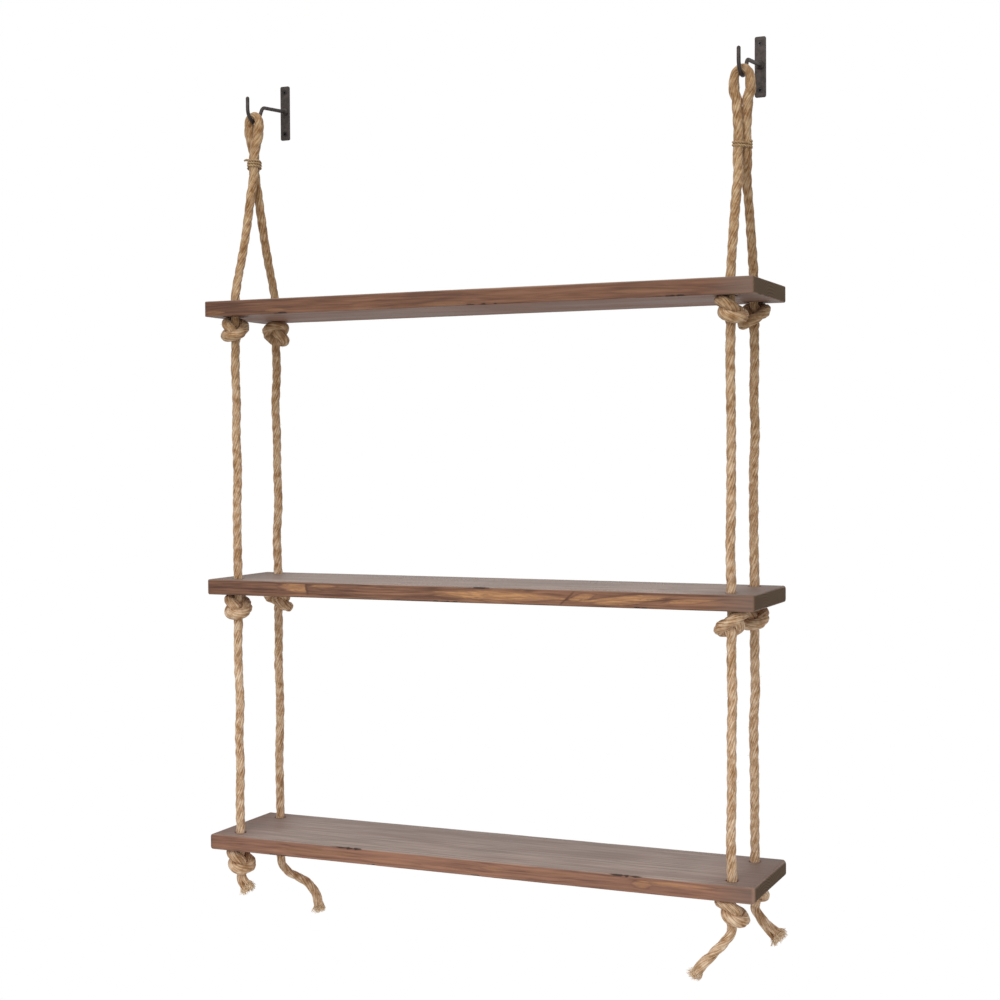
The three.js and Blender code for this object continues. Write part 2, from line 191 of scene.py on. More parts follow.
# Rope holes of the planks: half of their span across the board, and their radius
HOLE_HALF_SPAN = 48 * MM
HOLE_RADIUS = ROPE_DIAMETER / 2 + 1.5 * MM
KNOT_HALF_HEIGHT_SHARE = 1.45
KNOT_EXIT_SHARE = 1.6
KNOT_COVERED_POINTS = 4
# Places of a free leg's points, as shares of its way down
LEG_SHARES = (0.12, 0.26, 0.4, 0.55, 0.7, 0.84)
# Seed of the legs' wander: without it the vector noise differs from run to run
WANDER_SEED = 1795887704
# Loose ends in rope diameters from where they leave their knots
TAIL_SHARES: dict[tuple[Side, Row], Shares] = {
    (Side.LEFT, Row.FRONT): ((0, 0, -0.35), (0.3, -0.05, -1.0), (0.9, -0.1, -1.6)),
    (Side.LEFT, Row.REAR): (
        (0, 0, -0.35), (0.27, 0, -1.2), (1.0, 0.03, -2.0), (2.2, 0.05, -2.5),
        (3.5, 0.08, -3.0), (4.6, 0.08, -3.8), (5.3, 0.05, -4.9), (5.7, 0, -6.1),
    ),
    (Side.RIGHT, Row.FRONT): (
        (0, 0, -0.35), (-0.25, 0, -1.1), (-0.9, -0.05, -2.0), (-1.9, -0.1, -3.1),
        (-3.0, -0.15, -4.3), (-4.0, -0.2, -5.6),
    ),
    (Side.RIGHT, Row.REAR): (
        (0, 0, -0.35), (0.2, 0, -0.9), (0.8, 0.05, -1.7), (1.7, 0.1, -2.6), (2.6, 0.15, -3.4),
    ),
}
# How far the strands of each loose end stand apart at its tip
TAIL_FLARE: dict[tuple[Side, Row], float] = {
    (Side.LEFT, Row.FRONT): 4.0 * MM, (Side.LEFT, Row.REAR): 2.6 * MM,
    (Side.RIGHT, Row.FRONT): 2.6 * MM, (Side.RIGHT, Row.REAR): 5.0 * MM,
}
# From a loose end's tip back: share of that flare, and girth
TIP_FLARE_SHARES = (1.0, 0.5, 0.12)
TIP_GIRTHS = (0.74, 0.92, 1.0)
# Each knot's turn about its rope in degrees, at the top, middle and bottom plank
KNOT_TURNS: dict[tuple[Side, Row], tuple[float, float, float]] = {
    (Side.LEFT, Row.FRONT): (20, 40, 65), (Side.LEFT, Row.REAR): (200, 160, 290),
    (Side.RIGHT, Row.FRONT): (75, 250, 100), (Side.RIGHT, Row.REAR): (330, 15, 215),
}


def linear(colour: str) -> tuple[float, float, float, float]:
    """Turn an sRGB hex colour into the linear colour that a shader takes.

    Args:
        colour: Six hex digits after a hash sign.

    Returns:
        Linear red, green, blue and full opacity.
    """
    channels = [int(colour[i:i + 2], 16) / 255 for i in (1, 3, 5)]
    return *(c / 12.92 if c <= 0.04045 else ((c + 0.055) / 1.055) ** 2.4 for c in channels), 1.0


class Value:
    """What a node puts out; working with it adds more nodes."""

    def __init__(self, web: "Web", socket: bpy.types.NodeSocket) -> None:
        """Take up an output of a web's node."""
        self.web, self.socket = web, socket

    def by(self, operation: str, *others: Any) -> "Value":
        """Work out a number from numbers, or a vector or its length from vectors."""
        kind = Kind.VECTOR if self.socket.type == "VECTOR" else Kind.NUMBER
        return self.web.add(kind, self, *others, operation=operation)

    def __add__(self, other: Any) -> "Value":
        """Add."""
        return self.by("ADD", other)

    def __sub__(self, other: Any) -> "Value":
        """Subtract."""
        return self.by("SUBTRACT", other)

    def __mul__(self, other: Any) -> "Value":
        """Multiply; a colour is dimmed, channel by channel.

        Args:
            other: A number or another value.

        Returns:
            The product, as a new value.
        """
        if self.socket.type == "RGBA":
            return self.web.add(Kind.DIM, 1.0, self, other)
        return self.by("MULTIPLY", other)

    def __truediv__(self, other: Any) -> "Value":
        """Divide."""
        return self.by("DIVIDE", other)

    def other(self, name: str) -> "Value":
        """Take another output of the same node."""
        return Value(self.web, self.socket.node.outputs[name])

    def parts(self) -> list["Value"]:
        """Take a vector apart."""
        node = self.web.add(Kind.PARTS, self).socket.node
        return [Value(self.web, socket) for socket in node.outputs]


class Web:
    """A node tree in the making."""

    def __init__(self, tree: bpy.types.NodeTree) -> None:
        """Take up a tree."""
        self.tree = tree

    def feed(self, socket: bpy.types.NodeSocket, value: Any) -> None:
        """Give an input what a node puts out, a hex colour or a plain value.

        Args:
            socket: The input.
            value: What it gets; None leaves it as it is.
        """
        if isinstance(value, Value):
            self.tree.links.new(value.socket, socket)
        elif value is not None:
            is_colour = isinstance(value, str) and value.startswith("#")
            socket.default_value = linear(value) if is_colour else value

    def add(self, kind: Kind, *values: Any, **settings: Any) -> Value:
        """Add a node with its settings, values and links.

        Args:
            kind: What kind of node.
            values: What feeds its inputs, in order, of those that its settings leave in use.
            settings: Its own properties.

        Returns:
            What the node puts out first.
        """
        node_type, usual = kind.value
        node = self.tree.nodes.new(node_type)
        for name, value in (usual | settings).items():
            setattr(node, name, value)
        for socket, value in zip([s for s in node.inputs if s.enabled], values):
            self.feed(socket, value)
        return Value(self, next((s for s in node.outputs if s.enabled), None))


def new_object(name: str, data: bpy.types.ID) -> Object:
    """Put a mesh, lamp or camera into the scene as an object at the origin.

    Args:
        name: The object's name.
        data: What it is made of, already in place.

    Returns:
        The new object.
    """
    piece = bpy.data.objects.new(name, data)
    bpy.context.scene.collection.objects.link(piece)
    return piece


def kept(work: Object) -> Mesh:
    """Take the mesh that an object's modifiers make, and remove the object.

    Args:
        work: The object.

    Returns:
        The plain mesh.
    """
    bpy.context.view_layer.update()
    evaluated = work.evaluated_get(bpy.context.evaluated_depsgraph_get())
    mesh = bpy.data.meshes.new_from_object(evaluated)
    bpy.data.objects.remove(work)
    return mesh


def grown(name: str, seed: Mesh, tree: bpy.types.NodeTree, sizes: dict[str, Any]) -> Object:
    """Grow a piece from a seed mesh with a Geometry Nodes tree and keep it as a plain mesh.

    Args:
        name: The piece's name.
        seed: What the tree starts from.
        tree: The Geometry Nodes tree.
        sizes: Values of the tree's inputs, by name.

    Returns:
        The grown piece, without its modifier.
    """
    work = new_object(f"{name}_seed", seed)
    modifier = work.modifiers.new("growth", "NODES")
    modifier.node_group = tree
    for item in tree.interface.items_tree:
        if item.in_out == "INPUT" and item.name in sizes:
            modifier[item.identifier] = sizes[item.name]
    return new_object(name, kept(work))


def seeded(name: str, points: np.ndarray, joined: bool, **layers: np.ndarray) -> Mesh:
    """Make a mesh of points that carry named numbers and vectors.

    Args:
        name: The mesh's name.
        points: Where the points are.
        joined: Whether edges join them into a line.
        layers: What they carry, by attribute name.

    Returns:
        The mesh.
    """
    mesh = bpy.data.meshes.new(name)
    edges = [(i, i + 1) for i in range(len(points) - 1)] if joined else []
    mesh.from_pydata([tuple(p) for p in points], edges, [])
    for title, values in layers.items():
        values = np.array(values, np.float32)
        kind, key = ("FLOAT_VECTOR", "vector") if values.ndim == 2 else ("FLOAT", "value")
        mesh.attributes.new(title, kind, "POINT").data.foreach_set(key, values.ravel())
    return mesh


def lofted(name: str, rings: list[list[Vector]]) -> Mesh:
    """Skin rings of points into a closed mesh whose faces point out.

    Args:
        name: The mesh's name.
        rings: Rings of equally many points, from one end to the other.

    Returns:
        The mesh.
    """
    size, count = len(rings[0]), len(rings)
    faces = [
        ((i + 1) * size + k, (i + 1) * size + (k + 1) % size, i * size + (k + 1) % size, i * size + k)
        for i in range(count - 1) for k in range(size)
    ]
    faces += [tuple(range(size)), tuple(range((count - 1) * size, count * size))[::-1]]
    mesh = bpy.data.meshes.new(name)
    mesh.from_pydata([tuple(p) for ring in rings for p in ring], [], faces)
    work = bmesh.new()
    work.from_mesh(mesh)
    bmesh.ops.recalc_face_normals(work, faces=work.faces)
    work.to_mesh(mesh)
    work.free()
    return mesh


def revolved(name: str, profile: list[tuple[float, float]], sides: int) -> Mesh:
    """Turn a profile about Z into a closed mesh.

    Args:
        name: The mesh's name.
        profile: Radius and height of each ring, from the top down.
        sides: Sides of each ring.

    Returns:
        The mesh.
    """
    angles = [FULL_TURN * k / sides for k in range(sides)]
    return lofted(name, [[Vector((r * math.cos(a), r * math.sin(a), z)) for a in angles]
                         for r, z in reversed(profile)])


def drilled(mesh: Mesh, drill: Mesh, places: list[Matrix]) -> Mesh:
    """Cut a drill's shape out of a mesh at several places.

    Args:
        mesh: The mesh to cut.
        drill: The drill's shape.
        places: Where it goes.

    Returns:
        The cut mesh.
    """
    work, cutters = new_object("drilled_work", mesh), []
    for place in places:
        cutter_mesh = drill.copy()
        cutter_mesh.transform(place)
        cutters.append(new_object("drill_work", cutter_mesh))
        modifier = work.modifiers.new("cut", "BOOLEAN")
        modifier.operation, modifier.solver, modifier.object = "DIFFERENCE", "EXACT", cutters[-1]
    result = kept(work)
    for cutter in cutters:
        bpy.data.objects.remove(cutter)
    return result


def dressed(name: str, mesh: Mesh, finish: Material, sharp_degrees: float = 180) -> Object:
    """Shade a mesh smooth up to an angle and make a piece of it.

    Args:
        name: The piece's name.
        mesh: Its mesh.
        finish: Its material.
        sharp_degrees: Angle between faces from which their edge stays sharp.

    Returns:
        The piece.
    """
    mesh.shade_smooth()
    mesh.set_sharp_from_angle(angle=math.radians(sharp_degrees))
    mesh.materials.clear()
    mesh.materials.append(finish)
    return new_object(name, mesh)


def settled(piece: Object, slot: str, *nodes: str) -> Object:
    """Hide the solids that a piece replaces, and log its face count.

    Args:
        piece: The piece, already on its body.
        slot: Its slot; not used.
        nodes: The nodes whose solids it replaces.

    Returns:
        The same piece.
    """
    if nodes:
        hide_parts(*nodes)
    LOG.info("%s: %d faces", piece.name, len(piece.data.polygons))
    return piece


# Finishes


class Shading(Web):
    """The node tree of a new material."""

    def __init__(self, name: str, specular: float = 0.5, roughness: float = 0.5) -> None:
        """Make a material with nothing but its shader.

        Args:
            name: The material's name.
            specular: The shader's specular level; one half is the real reflection of its kind.
            roughness: Its roughness, if nothing feeds it.
        """
        self.material = bpy.data.materials.new(name)
        self.material.use_nodes = True
        super().__init__(self.material.node_tree)
        self.set("Specular IOR Level", specular)
        self.set("Roughness", roughness)
        self.place = self.add(Kind.PLACE).other("Object")

    def set(self, name: str, value: Any) -> None:
        """Feed one of the shader's inputs."""
        self.feed(self.tree.nodes["Principled BSDF"].inputs[name], value)

    def read(self, name: str, output: str = "Fac") -> Value:
        """Read a number that the mesh carries, or from the output Vector a vector."""
        return self.add(Kind.CARRIED, attribute_name=name).other(output)

    def drawn(self, place: Value, scale: tuple[float, float, float], detail: float,
              start: tuple[float, float, float] = (0.0, 0.0, 0.0)) -> Value:
        """Add a noise with its own number of features per metre along each axis."""
        return self.add(Kind.NOISE, place * scale + start, 1.0, detail)

    def toned(self, value: Value, *stops: tuple[float, str]) -> Value:
        """Turn a number into a colour.

        Args:
            value: The number.
            stops: Numbers and their sRGB hex colours, rising.

        Returns:
            The colour.
        """
        colour = self.add(Kind.RAMP, value)
        elements = colour.socket.node.color_ramp.elements
        while len(elements) < len(stops):
            elements.new(1.0)
        for element, (position, shade) in zip(elements, stops):
            element.position, element.color = position, linear(shade)
        return colour

    def finish(self, colour: Value, height: Value, relief: float, strength: float) -> Material:
        """Feed the colour and a bumpy surface to the shader.

        Args:
            colour: The base colour.
            height: Height of the relief, 0 to 1.
            relief: The relief's real depth.
            strength: Share of the relief that shows.

        Returns:
            The finished material.
        """
        self.set("Base Color", colour)
        self.set("Normal", self.add(Kind.BUMP, strength, relief, None, height))
        return self.material


@dataclass(frozen=True)
class LaidJute:
    """Jute cordage, laid from spun yarns: matt, streaky straw browns, painted darker between strands.

    Painted shade darkens the grooves between strands and yarns, with a faint painted highlight on
    the yarns' crowns. It is painted darker and browner towards the hooks: painted shade for the
    light that falls off towards the top.
    """

    name: str
    shade: str
    body: str
    light: str
    fibre_width: float = 0.5 * MM
    fibre_run_share: float = 0.045
    cloud_size: float = 9 * MM
    yarns: float = 7.0
    yarn_twist: float = 60.0
    # Painted shade in the grooves of the yarns and between the strands, and a faint painted highlight
    # on the yarns' crowns
    yarn_groove: float = 0.76
    yarn_crown: float = 1.05
    strand_groove: float = 0.72
    # Painted shade towards the hooks: its tint, and the heights over which it fades in
    handled: str = "#cec7b8"
    handled_from: float = -0.8
    handled_to: float = -0.1

    def build(self) -> Material:
        """Make the material, whose streaks follow each strand by what the mesh carries.

        Returns:
            The new material.
        """
        s = Shading(self.name, specular=0.2, roughness=0.9)
        along, strand = s.read("along"), ROPE_DIAMETER / 4
        turned = s.add(Kind.TURN, s.read("around", "Vector"), None, along * -self.yarn_twist)
        x, y, _ = turned.parts()
        yarn = (y.by("ARCTAN2", x) * self.yarns).by("COSINE")
        run = s.add(Kind.JOINED, x * strand, y * strand, along * self.fibre_run_share)
        fibres = s.add(Kind.NOISE, run, 1 / self.fibre_width, 3.0, 0.65)
        cloud = s.add(Kind.NOISE, s.place, 1 / self.cloud_size, 3.0)
        colour = s.toned(cloud * 0.4 + fibres * 0.6,
                         (0.4, self.shade), (0.5, self.body), (0.61, self.light))
        # Painted shade in the yarns' grooves, and a faint painted highlight on their crowns
        yarn_shade_and_highlight = s.add(Kind.GRADE, yarn, -1.0, 0.1, self.yarn_groove, self.yarn_crown)
        # Painted shade: darker and browner towards the hooks at the top, for the light falling off
        # there
        worn = s.add(Kind.GRADE, s.place.parts()[2], self.handled_from, self.handled_to)
        upper_shade_tint = s.add(Kind.MIX, worn, "#ffffff", self.handled)
        # Painted shade in the grooves between the strands
        lay_groove_shade = s.add(Kind.GRADE, s.read("depth"), 0.55, 0.95, self.strand_groove)
        s.set("Sheen Weight", 0.15)
        s.set("Sheen Roughness", 0.5)
        return s.finish(colour * yarn_shade_and_highlight * upper_shade_tint * lay_groove_shade, fibres, 0.3 * MM, 0.8)


@dataclass(frozen=True)
class LooseFibre:
    """Single jute fibres that stand off the yarn: pale, thin and nearly matt."""

    name: str
    body: str
    light: str
    run: float = 2 * MM

    def build(self) -> Material:
        """Make the material, with a tone that changes from fibre to fibre.

        Returns:
            The new material.
        """
        s = Shading(self.name, specular=0.2, roughness=0.85)
        tone = s.add(Kind.NOISE, s.place, 1 / self.run, 1.0)
        s.set("Base Color", s.toned(tone, (0.35, self.body), (0.65, self.light)))
        return s.material


@dataclass(frozen=True)
class Flame:
    """A pale flame on the front edge, where the grain runs out beside a knot.

    All in millimetres: its middle from the plank's left end and from its middle height, its size,
    and its line's rise over its length. A knot's dark line may close its right end at a place,
    leaning by a share of its height.
    """

    x: float
    z: float
    length: float
    height: float
    glow: float
    rise: float = 0.0
    knot: float | None = None
    lean: float = 0.0


@dataclass(frozen=True)
class StainedPine:
    """Flat-sawn pine under a walnut stain: soft streaks, paler where dense grain took less stain.

    The brown comes from the stain on the early wood, the orange from bare flames beside knots.
    The top faces carry painted shade under a grey painted sheen, the reflection of the pale
    surroundings, with painted glints; painted shade darkens the left end's corners and the rope
    holes' rims, and a painted highlight brightens the right end's corners.
    """

    name: str
    centre: Vector
    half: Vector
    hole_spans: tuple[float, float]
    hole_radius: float
    dark: str
    body: str
    warm: str
    flames: tuple[Flame, ...]
    seed: float
    ring_spacing: float = 3.4 * MM
    wander: float = 9 * MM
    flame: str = "#cc9868"
    knot: str = "#553a2b"
    # Painted sheen of the top faces, the reflection of the pale surroundings
    greyed: str = "#a18f86"
    # Painted shade of the top faces, under their painted sheen
    soiled: str = "#5f4e45"
    end_grain: str = "#665240"
    end_line: str = "#483829"
    # Painted shade on the left end's corners; then the pale of rubbed arrises, also used for the
    # painted highlight on the right end's corners
    end_shade: str = "#4a3e37"
    worn: str = "#8d6e59"
    chipped: str = "#33251e"
    end_run: float = 70 * MM
    arris_width: float = 2.6 * MM
    # Strength of the painted shade and painted highlight on the end corners
    corner_wear: float = 0.3
    faded: str = "#7f6d63"
    faded_run: float = 65 * MM

    def build(self) -> Material:
        """Make the material from object coordinates and the mesh's chip attribute.

        Returns:
            The new material.
        """
        grain = PineGrain(self)
        colour = grain.bare()
        for flame in self.flames:
            colour = grain.lit(colour, flame)
        colour = grain.worn(grain.faced(colour))
        sawn = grain.add(Kind.GRADE, grain.gap.parts()[0], 1 * MM, 0.3 * MM, 0.0, 0.95)
        open_grain = grain.add(Kind.GRADE, grain.cloud, 0.35, 0.65, 0.52, 0.66)
        grain.set("Roughness", open_grain.by("MAXIMUM", sawn))
        return grain.finish(colour, grain.streak * 0.5 + grain.fine, 0.2 * MM, 0.5)


class PineGrain(Shading):
    """The node tree of a plank's finish, with the places and noises that its layers share.

    Its noises' scales are features per metre along the board, across it and through it.
    """

    WANDERS = (6.0, 30.0, 30.0)
    STREAKS = (11.0, 330.0, 330.0)
    FINE_LINES = (32.0, 850.0, 850.0)
    CLOUDS = (6.0, 26.0, 26.0)
    TORN_FIBRES = (11.0, 420.0, 420.0)
    RUBBED_SPOTS = (16.0, 110.0, 110.0)

    def __init__(self, pine: StainedPine) -> None:
        """Draw the noises: broad clouds, and streaks and fine lines that wander a little.

        Args:
            pine: The finish.
        """
        super().__init__(pine.name, specular=0.2)
        self.pine = pine
        self.board = self.place - pine.centre
        self.gap = self.board.by("ABSOLUTE") * (-1.0, -1.0, -1.0) + pine.half
        start = (pine.seed * 7, pine.seed * 3, pine.seed * 11)
        wander = self.drawn(self.board, self.WANDERS, 2.0, start) * pine.wander
        self.bent = self.board + self.add(Kind.JOINED, 0.0, wander, wander)
        self.streak = self.drawn(self.bent, self.STREAKS, 4.0, start)
        self.fine = self.drawn(self.bent, self.FINE_LINES, 3.0, start)
        self.cloud = self.drawn(self.board, self.CLOUDS, 3.0, start)
        self.ring = self._ring()

    def _ring(self) -> Value:
        """Draw growth rings about a pith line that runs along under the board.

        Returns:
            Share of the way through a ring.
        """
        _, y, z = self.bent.parts()
        seed = self.pine.seed
        aside, under = math.sin(seed * 5) * 30 * MM, (60 + 20 * math.cos(seed * 3)) * MM
        flat = self.add(Kind.JOINED, 0.0, y - aside, z + under)
        return (flat.by("LENGTH") / self.pine.ring_spacing).by("FRACT")

    def bare(self) -> Value:
        """Stain the wood.

        Returns:
            The colour of its edges.
        """
        pine = self.pine
        tone = self.streak * 0.45 + (self.fine * 0.3 + self.cloud * 0.25)
        colour = self.toned(tone, (0.4, pine.dark), (0.5, pine.body), (0.61, pine.warm))
        return colour * self.add(Kind.GRADE, self.ring, 0.45, 1.0, 1.03, 0.88)

    def lit(self, colour: Value, flame: Flame) -> Value:
        """Lay a flame over the colour: a lens of pale streaks, pointed where it starts.

        Args:
            colour: Colour before.
            flame: The flame.

        Returns:
            The colour with the flame.
        """
        left, lens, knot = -self.pine.half.x, self.pine.flame, self.pine.knot
        x, _, z = self.board.parts()
        u = (x - (flame.x * MM + left)) / (flame.length * MM / 2)
        axis = u * (flame.rise * MM / 2) + flame.z * MM
        v = ((z - axis) / (flame.height * MM / 2)).by("ABSOLUTE")
        ragged = self.streak * 1.7 + (self.fine * 0.8 + v) - 1.25
        away = u.by("ABSOLUTE").by("POWER", 1.8) + ragged
        inside = self.add(Kind.GRADE, away, 0.98, 0.5)
        lines = self.add(Kind.GRADE, (away * 3.1).by("FRACT"), 0.4, 1.0, 1.0, 0.45)
        rim = self.add(Kind.GRADE, (away - 1.1).by("ABSOLUTE"), 0.18, 0.04, 0.0, 0.35)
        colour = self.add(Kind.MIX, rim * flame.glow, colour, knot)
        gaps = self.add(Kind.GRADE, self.fine, 0.38, 0.56, 1.0, 0.45)
        amount = inside * lines * flame.glow * gaps
        if flame.knot is None:
            return self.add(Kind.MIX, amount, colour, lens)
        leaning = z * -flame.lean + (flame.knot * MM + left)
        past = self.streak * (5 * MM) + x - leaning
        amount = amount * self.add(Kind.GRADE, past, 2.5 * MM, 0.0)
        colour = self.add(Kind.MIX, amount, colour, lens)
        line = self.add(Kind.GRADE, (past - 3 * MM).by("ABSOLUTE"), 2.5 * MM, 0.5 * MM)
        return self.add(Kind.MIX, line * self.add(Kind.GRADE, v, 1.4, 0.7, 0.0, 0.6), colour, knot)

    def faced(self, colour: Value) -> Value:
        """Darken towards the ends, paint shade and a grey painted sheen on the top faces, darken the
        end grain.

        Args:
            colour: Colour of the board's edges.

        Returns:
            The colour with each kind of face in its own tone.
        """
        pine = self.pine
        end_gap, _, broad_gap = self.gap.parts()
        x, _, z = self.board.parts()
        near_end = self.cloud * 0.06 + end_gap
        colour = colour * self.add(Kind.GRADE, near_end, 0.02, pine.end_run + 0.03, 0.8)
        faded = self.add(Kind.GRADE, x * -1.0 + pine.half.x, pine.faded_run, 0.0, 0.0, 0.55)
        colour = self.add(Kind.MIX, faded, colour, pine.faded)
        upper = self.add(Kind.GRADE, z, 0.0, 1 * MM)
        on_broad = self.add(Kind.GRADE, broad_gap, 1.4 * MM, 0.5 * MM)
        # Painted shade: the top faces darkened against the light that falls on them
        colour = self.add(Kind.MIX, upper * on_broad * 0.6, colour, pine.soiled)
        # Painted sheen: grey on the top faces for the reflection of the pale surroundings, less near
        # the ends
        top_face_sheen = self.add(Kind.GRADE, self.cloud, 0.36, 0.56, 0.5) * upper * on_broad
        top_face_sheen = top_face_sheen * self.add(Kind.GRADE, near_end, 0.03, pine.end_run + 0.05, 0.15)
        # Painted glints: pale and dark specks in the painted sheen
        sheen_glints = self.drawn(self.board, self.TORN_FIBRES, 5.0)
        sheen_glints = self.add(Kind.GRADE, sheen_glints, 0.36, 0.66, 0.78, 1.18)
        late = self.add(Kind.GRADE, self.ring, 0.4, 1.0, 1.05, 0.8)
        grey = self.add(Kind.DIM, 1.0, pine.greyed, sheen_glints) * late
        end = self.toned(self.ring * 0.6 + self.cloud * 0.5, (0.3, pine.end_grain),
                         (0.75, pine.end_line), (0.9, pine.end_grain))
        return self.add(Kind.MIX, self.add(Kind.GRADE, end_gap, 1.6 * MM, 0.7 * MM),
                        self.add(Kind.MIX, top_face_sheen, colour, grey), end)

    def worn(self, colour: Value) -> Value:
        """Rub arrises pale, blacken chips, paint shade and highlights at the end corners and hole rims.

        Args:
            colour: Colour before wear.

        Returns:
            The worn colour.
        """
        pine = self.pine
        x, y, z = self.gap.parts()
        from_corner = x.by("MAXIMUM", y)
        from_arris = x.by("MINIMUM", y).by("MAXIMUM", from_corner.by("MINIMUM", z))
        right = self.add(Kind.GRADE, self.board.parts()[0], -1 * MM, 1 * MM)
        rub = self.drawn(self.board, self.RUBBED_SPOTS, 3.0)
        rub = self.add(Kind.GRADE, rub, 0.42, 0.62, 0.0, 0.6)
        rub = rub * self.add(Kind.GRADE, from_arris, pine.arris_width, 0.4 * MM)
        corner = self.add(Kind.GRADE, from_corner, 5 * MM, 1.5 * MM, 0.0, pine.corner_wear)
        # Painted shade on the left end's rounded corners
        colour = self.add(Kind.MIX, corner - right, colour, pine.end_shade)
        # Pale on rubbed arrises (wear) and on the right end's rounded corners (painted highlight)
        colour = self.add(Kind.MIX, rub.by("MAXIMUM", corner * right), colour, pine.worn)
        broken = self.add(Kind.GRADE, self.read("chip") + self.fine, 0.85, 1.25, 0.0, 0.9)
        colour = self.add(Kind.MIX, broken, colour, pine.chipped)
        # Painted shade round the rope holes, where the ropes go in
        from_hole = (self.board.by("ABSOLUTE") - (*pine.hole_spans, 0.0)) * (1.0, 1.0, 0.0)
        rim = self.add(Kind.GRADE, from_hole.by("LENGTH"), pine.hole_radius * 1.5,
                       pine.hole_radius * 1.04, 0.0, 0.85)
        return self.add(Kind.MIX, rim, colour, pine.dark)


@dataclass(frozen=True)
class ForgedIron:
    """Hand-forged iron, waxed over its scale: brown-black, hammered, with a dull gleam."""

    name: str = "forged_iron_waxed"
    body: str = "#403936"
    scale: str = "#332d2a"
    rubbed: str = "#4d4542"
    hammer_mark: float = 4.5 * MM
    grit: float = 0.8 * MM
    relief: float = 0.5 * MM
    roughness: float = 0.55

    def build(self) -> Material:
        """Make the material from object coordinates.

        Returns:
            The new material.
        """
        s = Shading(self.name, roughness=self.roughness)
        s.set("Metallic", 0.7)
        dents = s.add(Kind.DENTS, s.place, 1 / self.hammer_mark, None, None, None, 0.7)
        grit = s.add(Kind.NOISE, s.place, 1 / self.grit, 4.0)
        colour = s.toned(dents * 0.4 + grit * 0.6,
                         (0.3, self.scale), (0.5, self.body), (0.72, self.rubbed))
        return s.finish(colour, grit * 0.25 + dents, self.relief, 0.6)


# Geometry Nodes trees


class Growth(Web):
    """A Geometry Nodes tree whose inputs are the fields of a dataclass."""

    SOCKETS = {int: "NodeSocketInt", float: "NodeSocketFloat", Material: "NodeSocketMaterial"}
    BEND_SHARE, ELBOW_SHARE = 0.35, 0.55
    MOST_SCALE = 1.15

    def __init__(self, name: str, sizes: type) -> None:
        """Make a tree with its inputs and output.

        Args:
            name: The tree's name.
            sizes: The dataclass.
        """
        super().__init__(bpy.data.node_groups.new(name, "GeometryNodeTree"))
        inputs = {field.name: self.SOCKETS[field.type] for field in fields(sizes)}
        for title, kind in ({"seed_mesh": "NodeSocketGeometry"} | inputs).items():
            self.tree.interface.new_socket(title, in_out="INPUT", socket_type=kind)
        self.tree.interface.new_socket(
            "grown_mesh", in_out="OUTPUT", socket_type="NodeSocketGeometry")
        sockets = self.add(Kind.GIVEN).socket.node.outputs
        self.given = SimpleNamespace(**{s.name: Value(self, s) for s in sockets if s.name})

    def read(self, name: str) -> Value:
        """Read a number that the points carry."""
        return self.add(Kind.STORED_NUMBER, name)

    def read_vector(self, name: str) -> Value:
        """Read a vector that the points carry."""
        return self.add(Kind.STORED_VECTOR, name)

    def fibres(self, roots: Value, upright: Value, low: Any, high: Any, least: float) -> Value:
        """Stand bent, three-sided fibres on points, each leaning and scaled at random.

        Args:
            roots: The points.
            upright: Which way each would point.
            low: Least lean about each axis.
            high: Greatest lean about each axis.
            least: Least scale.

        Returns:
            The fibres' mesh.
        """
        given = self.given
        bend = given.fibre_length * self.BEND_SHARE
        middle = given.fibre_length * self.ELBOW_SHARE
        elbow = self.add(Kind.JOINED, bend, None, middle)
        tip = self.add(Kind.JOINED, None, bend, given.fibre_length)
        line = self.add(Kind.BEND, 4, (0, 0, 0), (0, 0, 0), elbow, tip)
        fibre = self.add(Kind.SKIN, line, self.add(Kind.CIRCLE, 3, given.fibre_radius), None, True)
        lean = self.add(Kind.LEAN, self.add(Kind.RANDOM_VECTOR, low, high, None, given.seed))
        facing = self.add(Kind.ROTATE, upright, lean)
        scale = self.add(Kind.RANDOM_NUMBER, least, self.MOST_SCALE, None, given.seed)
        standing = self.add(Kind.STAND, roots, None, fibre, None, None, facing, scale)
        return self.add(Kind.DRESS, self.add(Kind.REAL, standing), None, given.fibre_finish)

    def finish(self, *parts: Value) -> bpy.types.NodeTree:
        """Join what the tree makes to its output.

        Args:
            parts: What it makes.

        Returns:
            The finished tree.
        """
        both = self.add(Kind.JOIN)
        for part in parts:
            self.feed(both.socket.node.inputs[0], part)
        self.add(Kind.RESULT, both)
        return self.tree


# Ropes


@dataclass(frozen=True)
class Station:
    """A point that a rope goes through, with the rope's state there."""

    place: Vector
    girth: float = 1.0
    unlay: float = 0.0
    fuzz: float = 1.0
    mark: str = ""


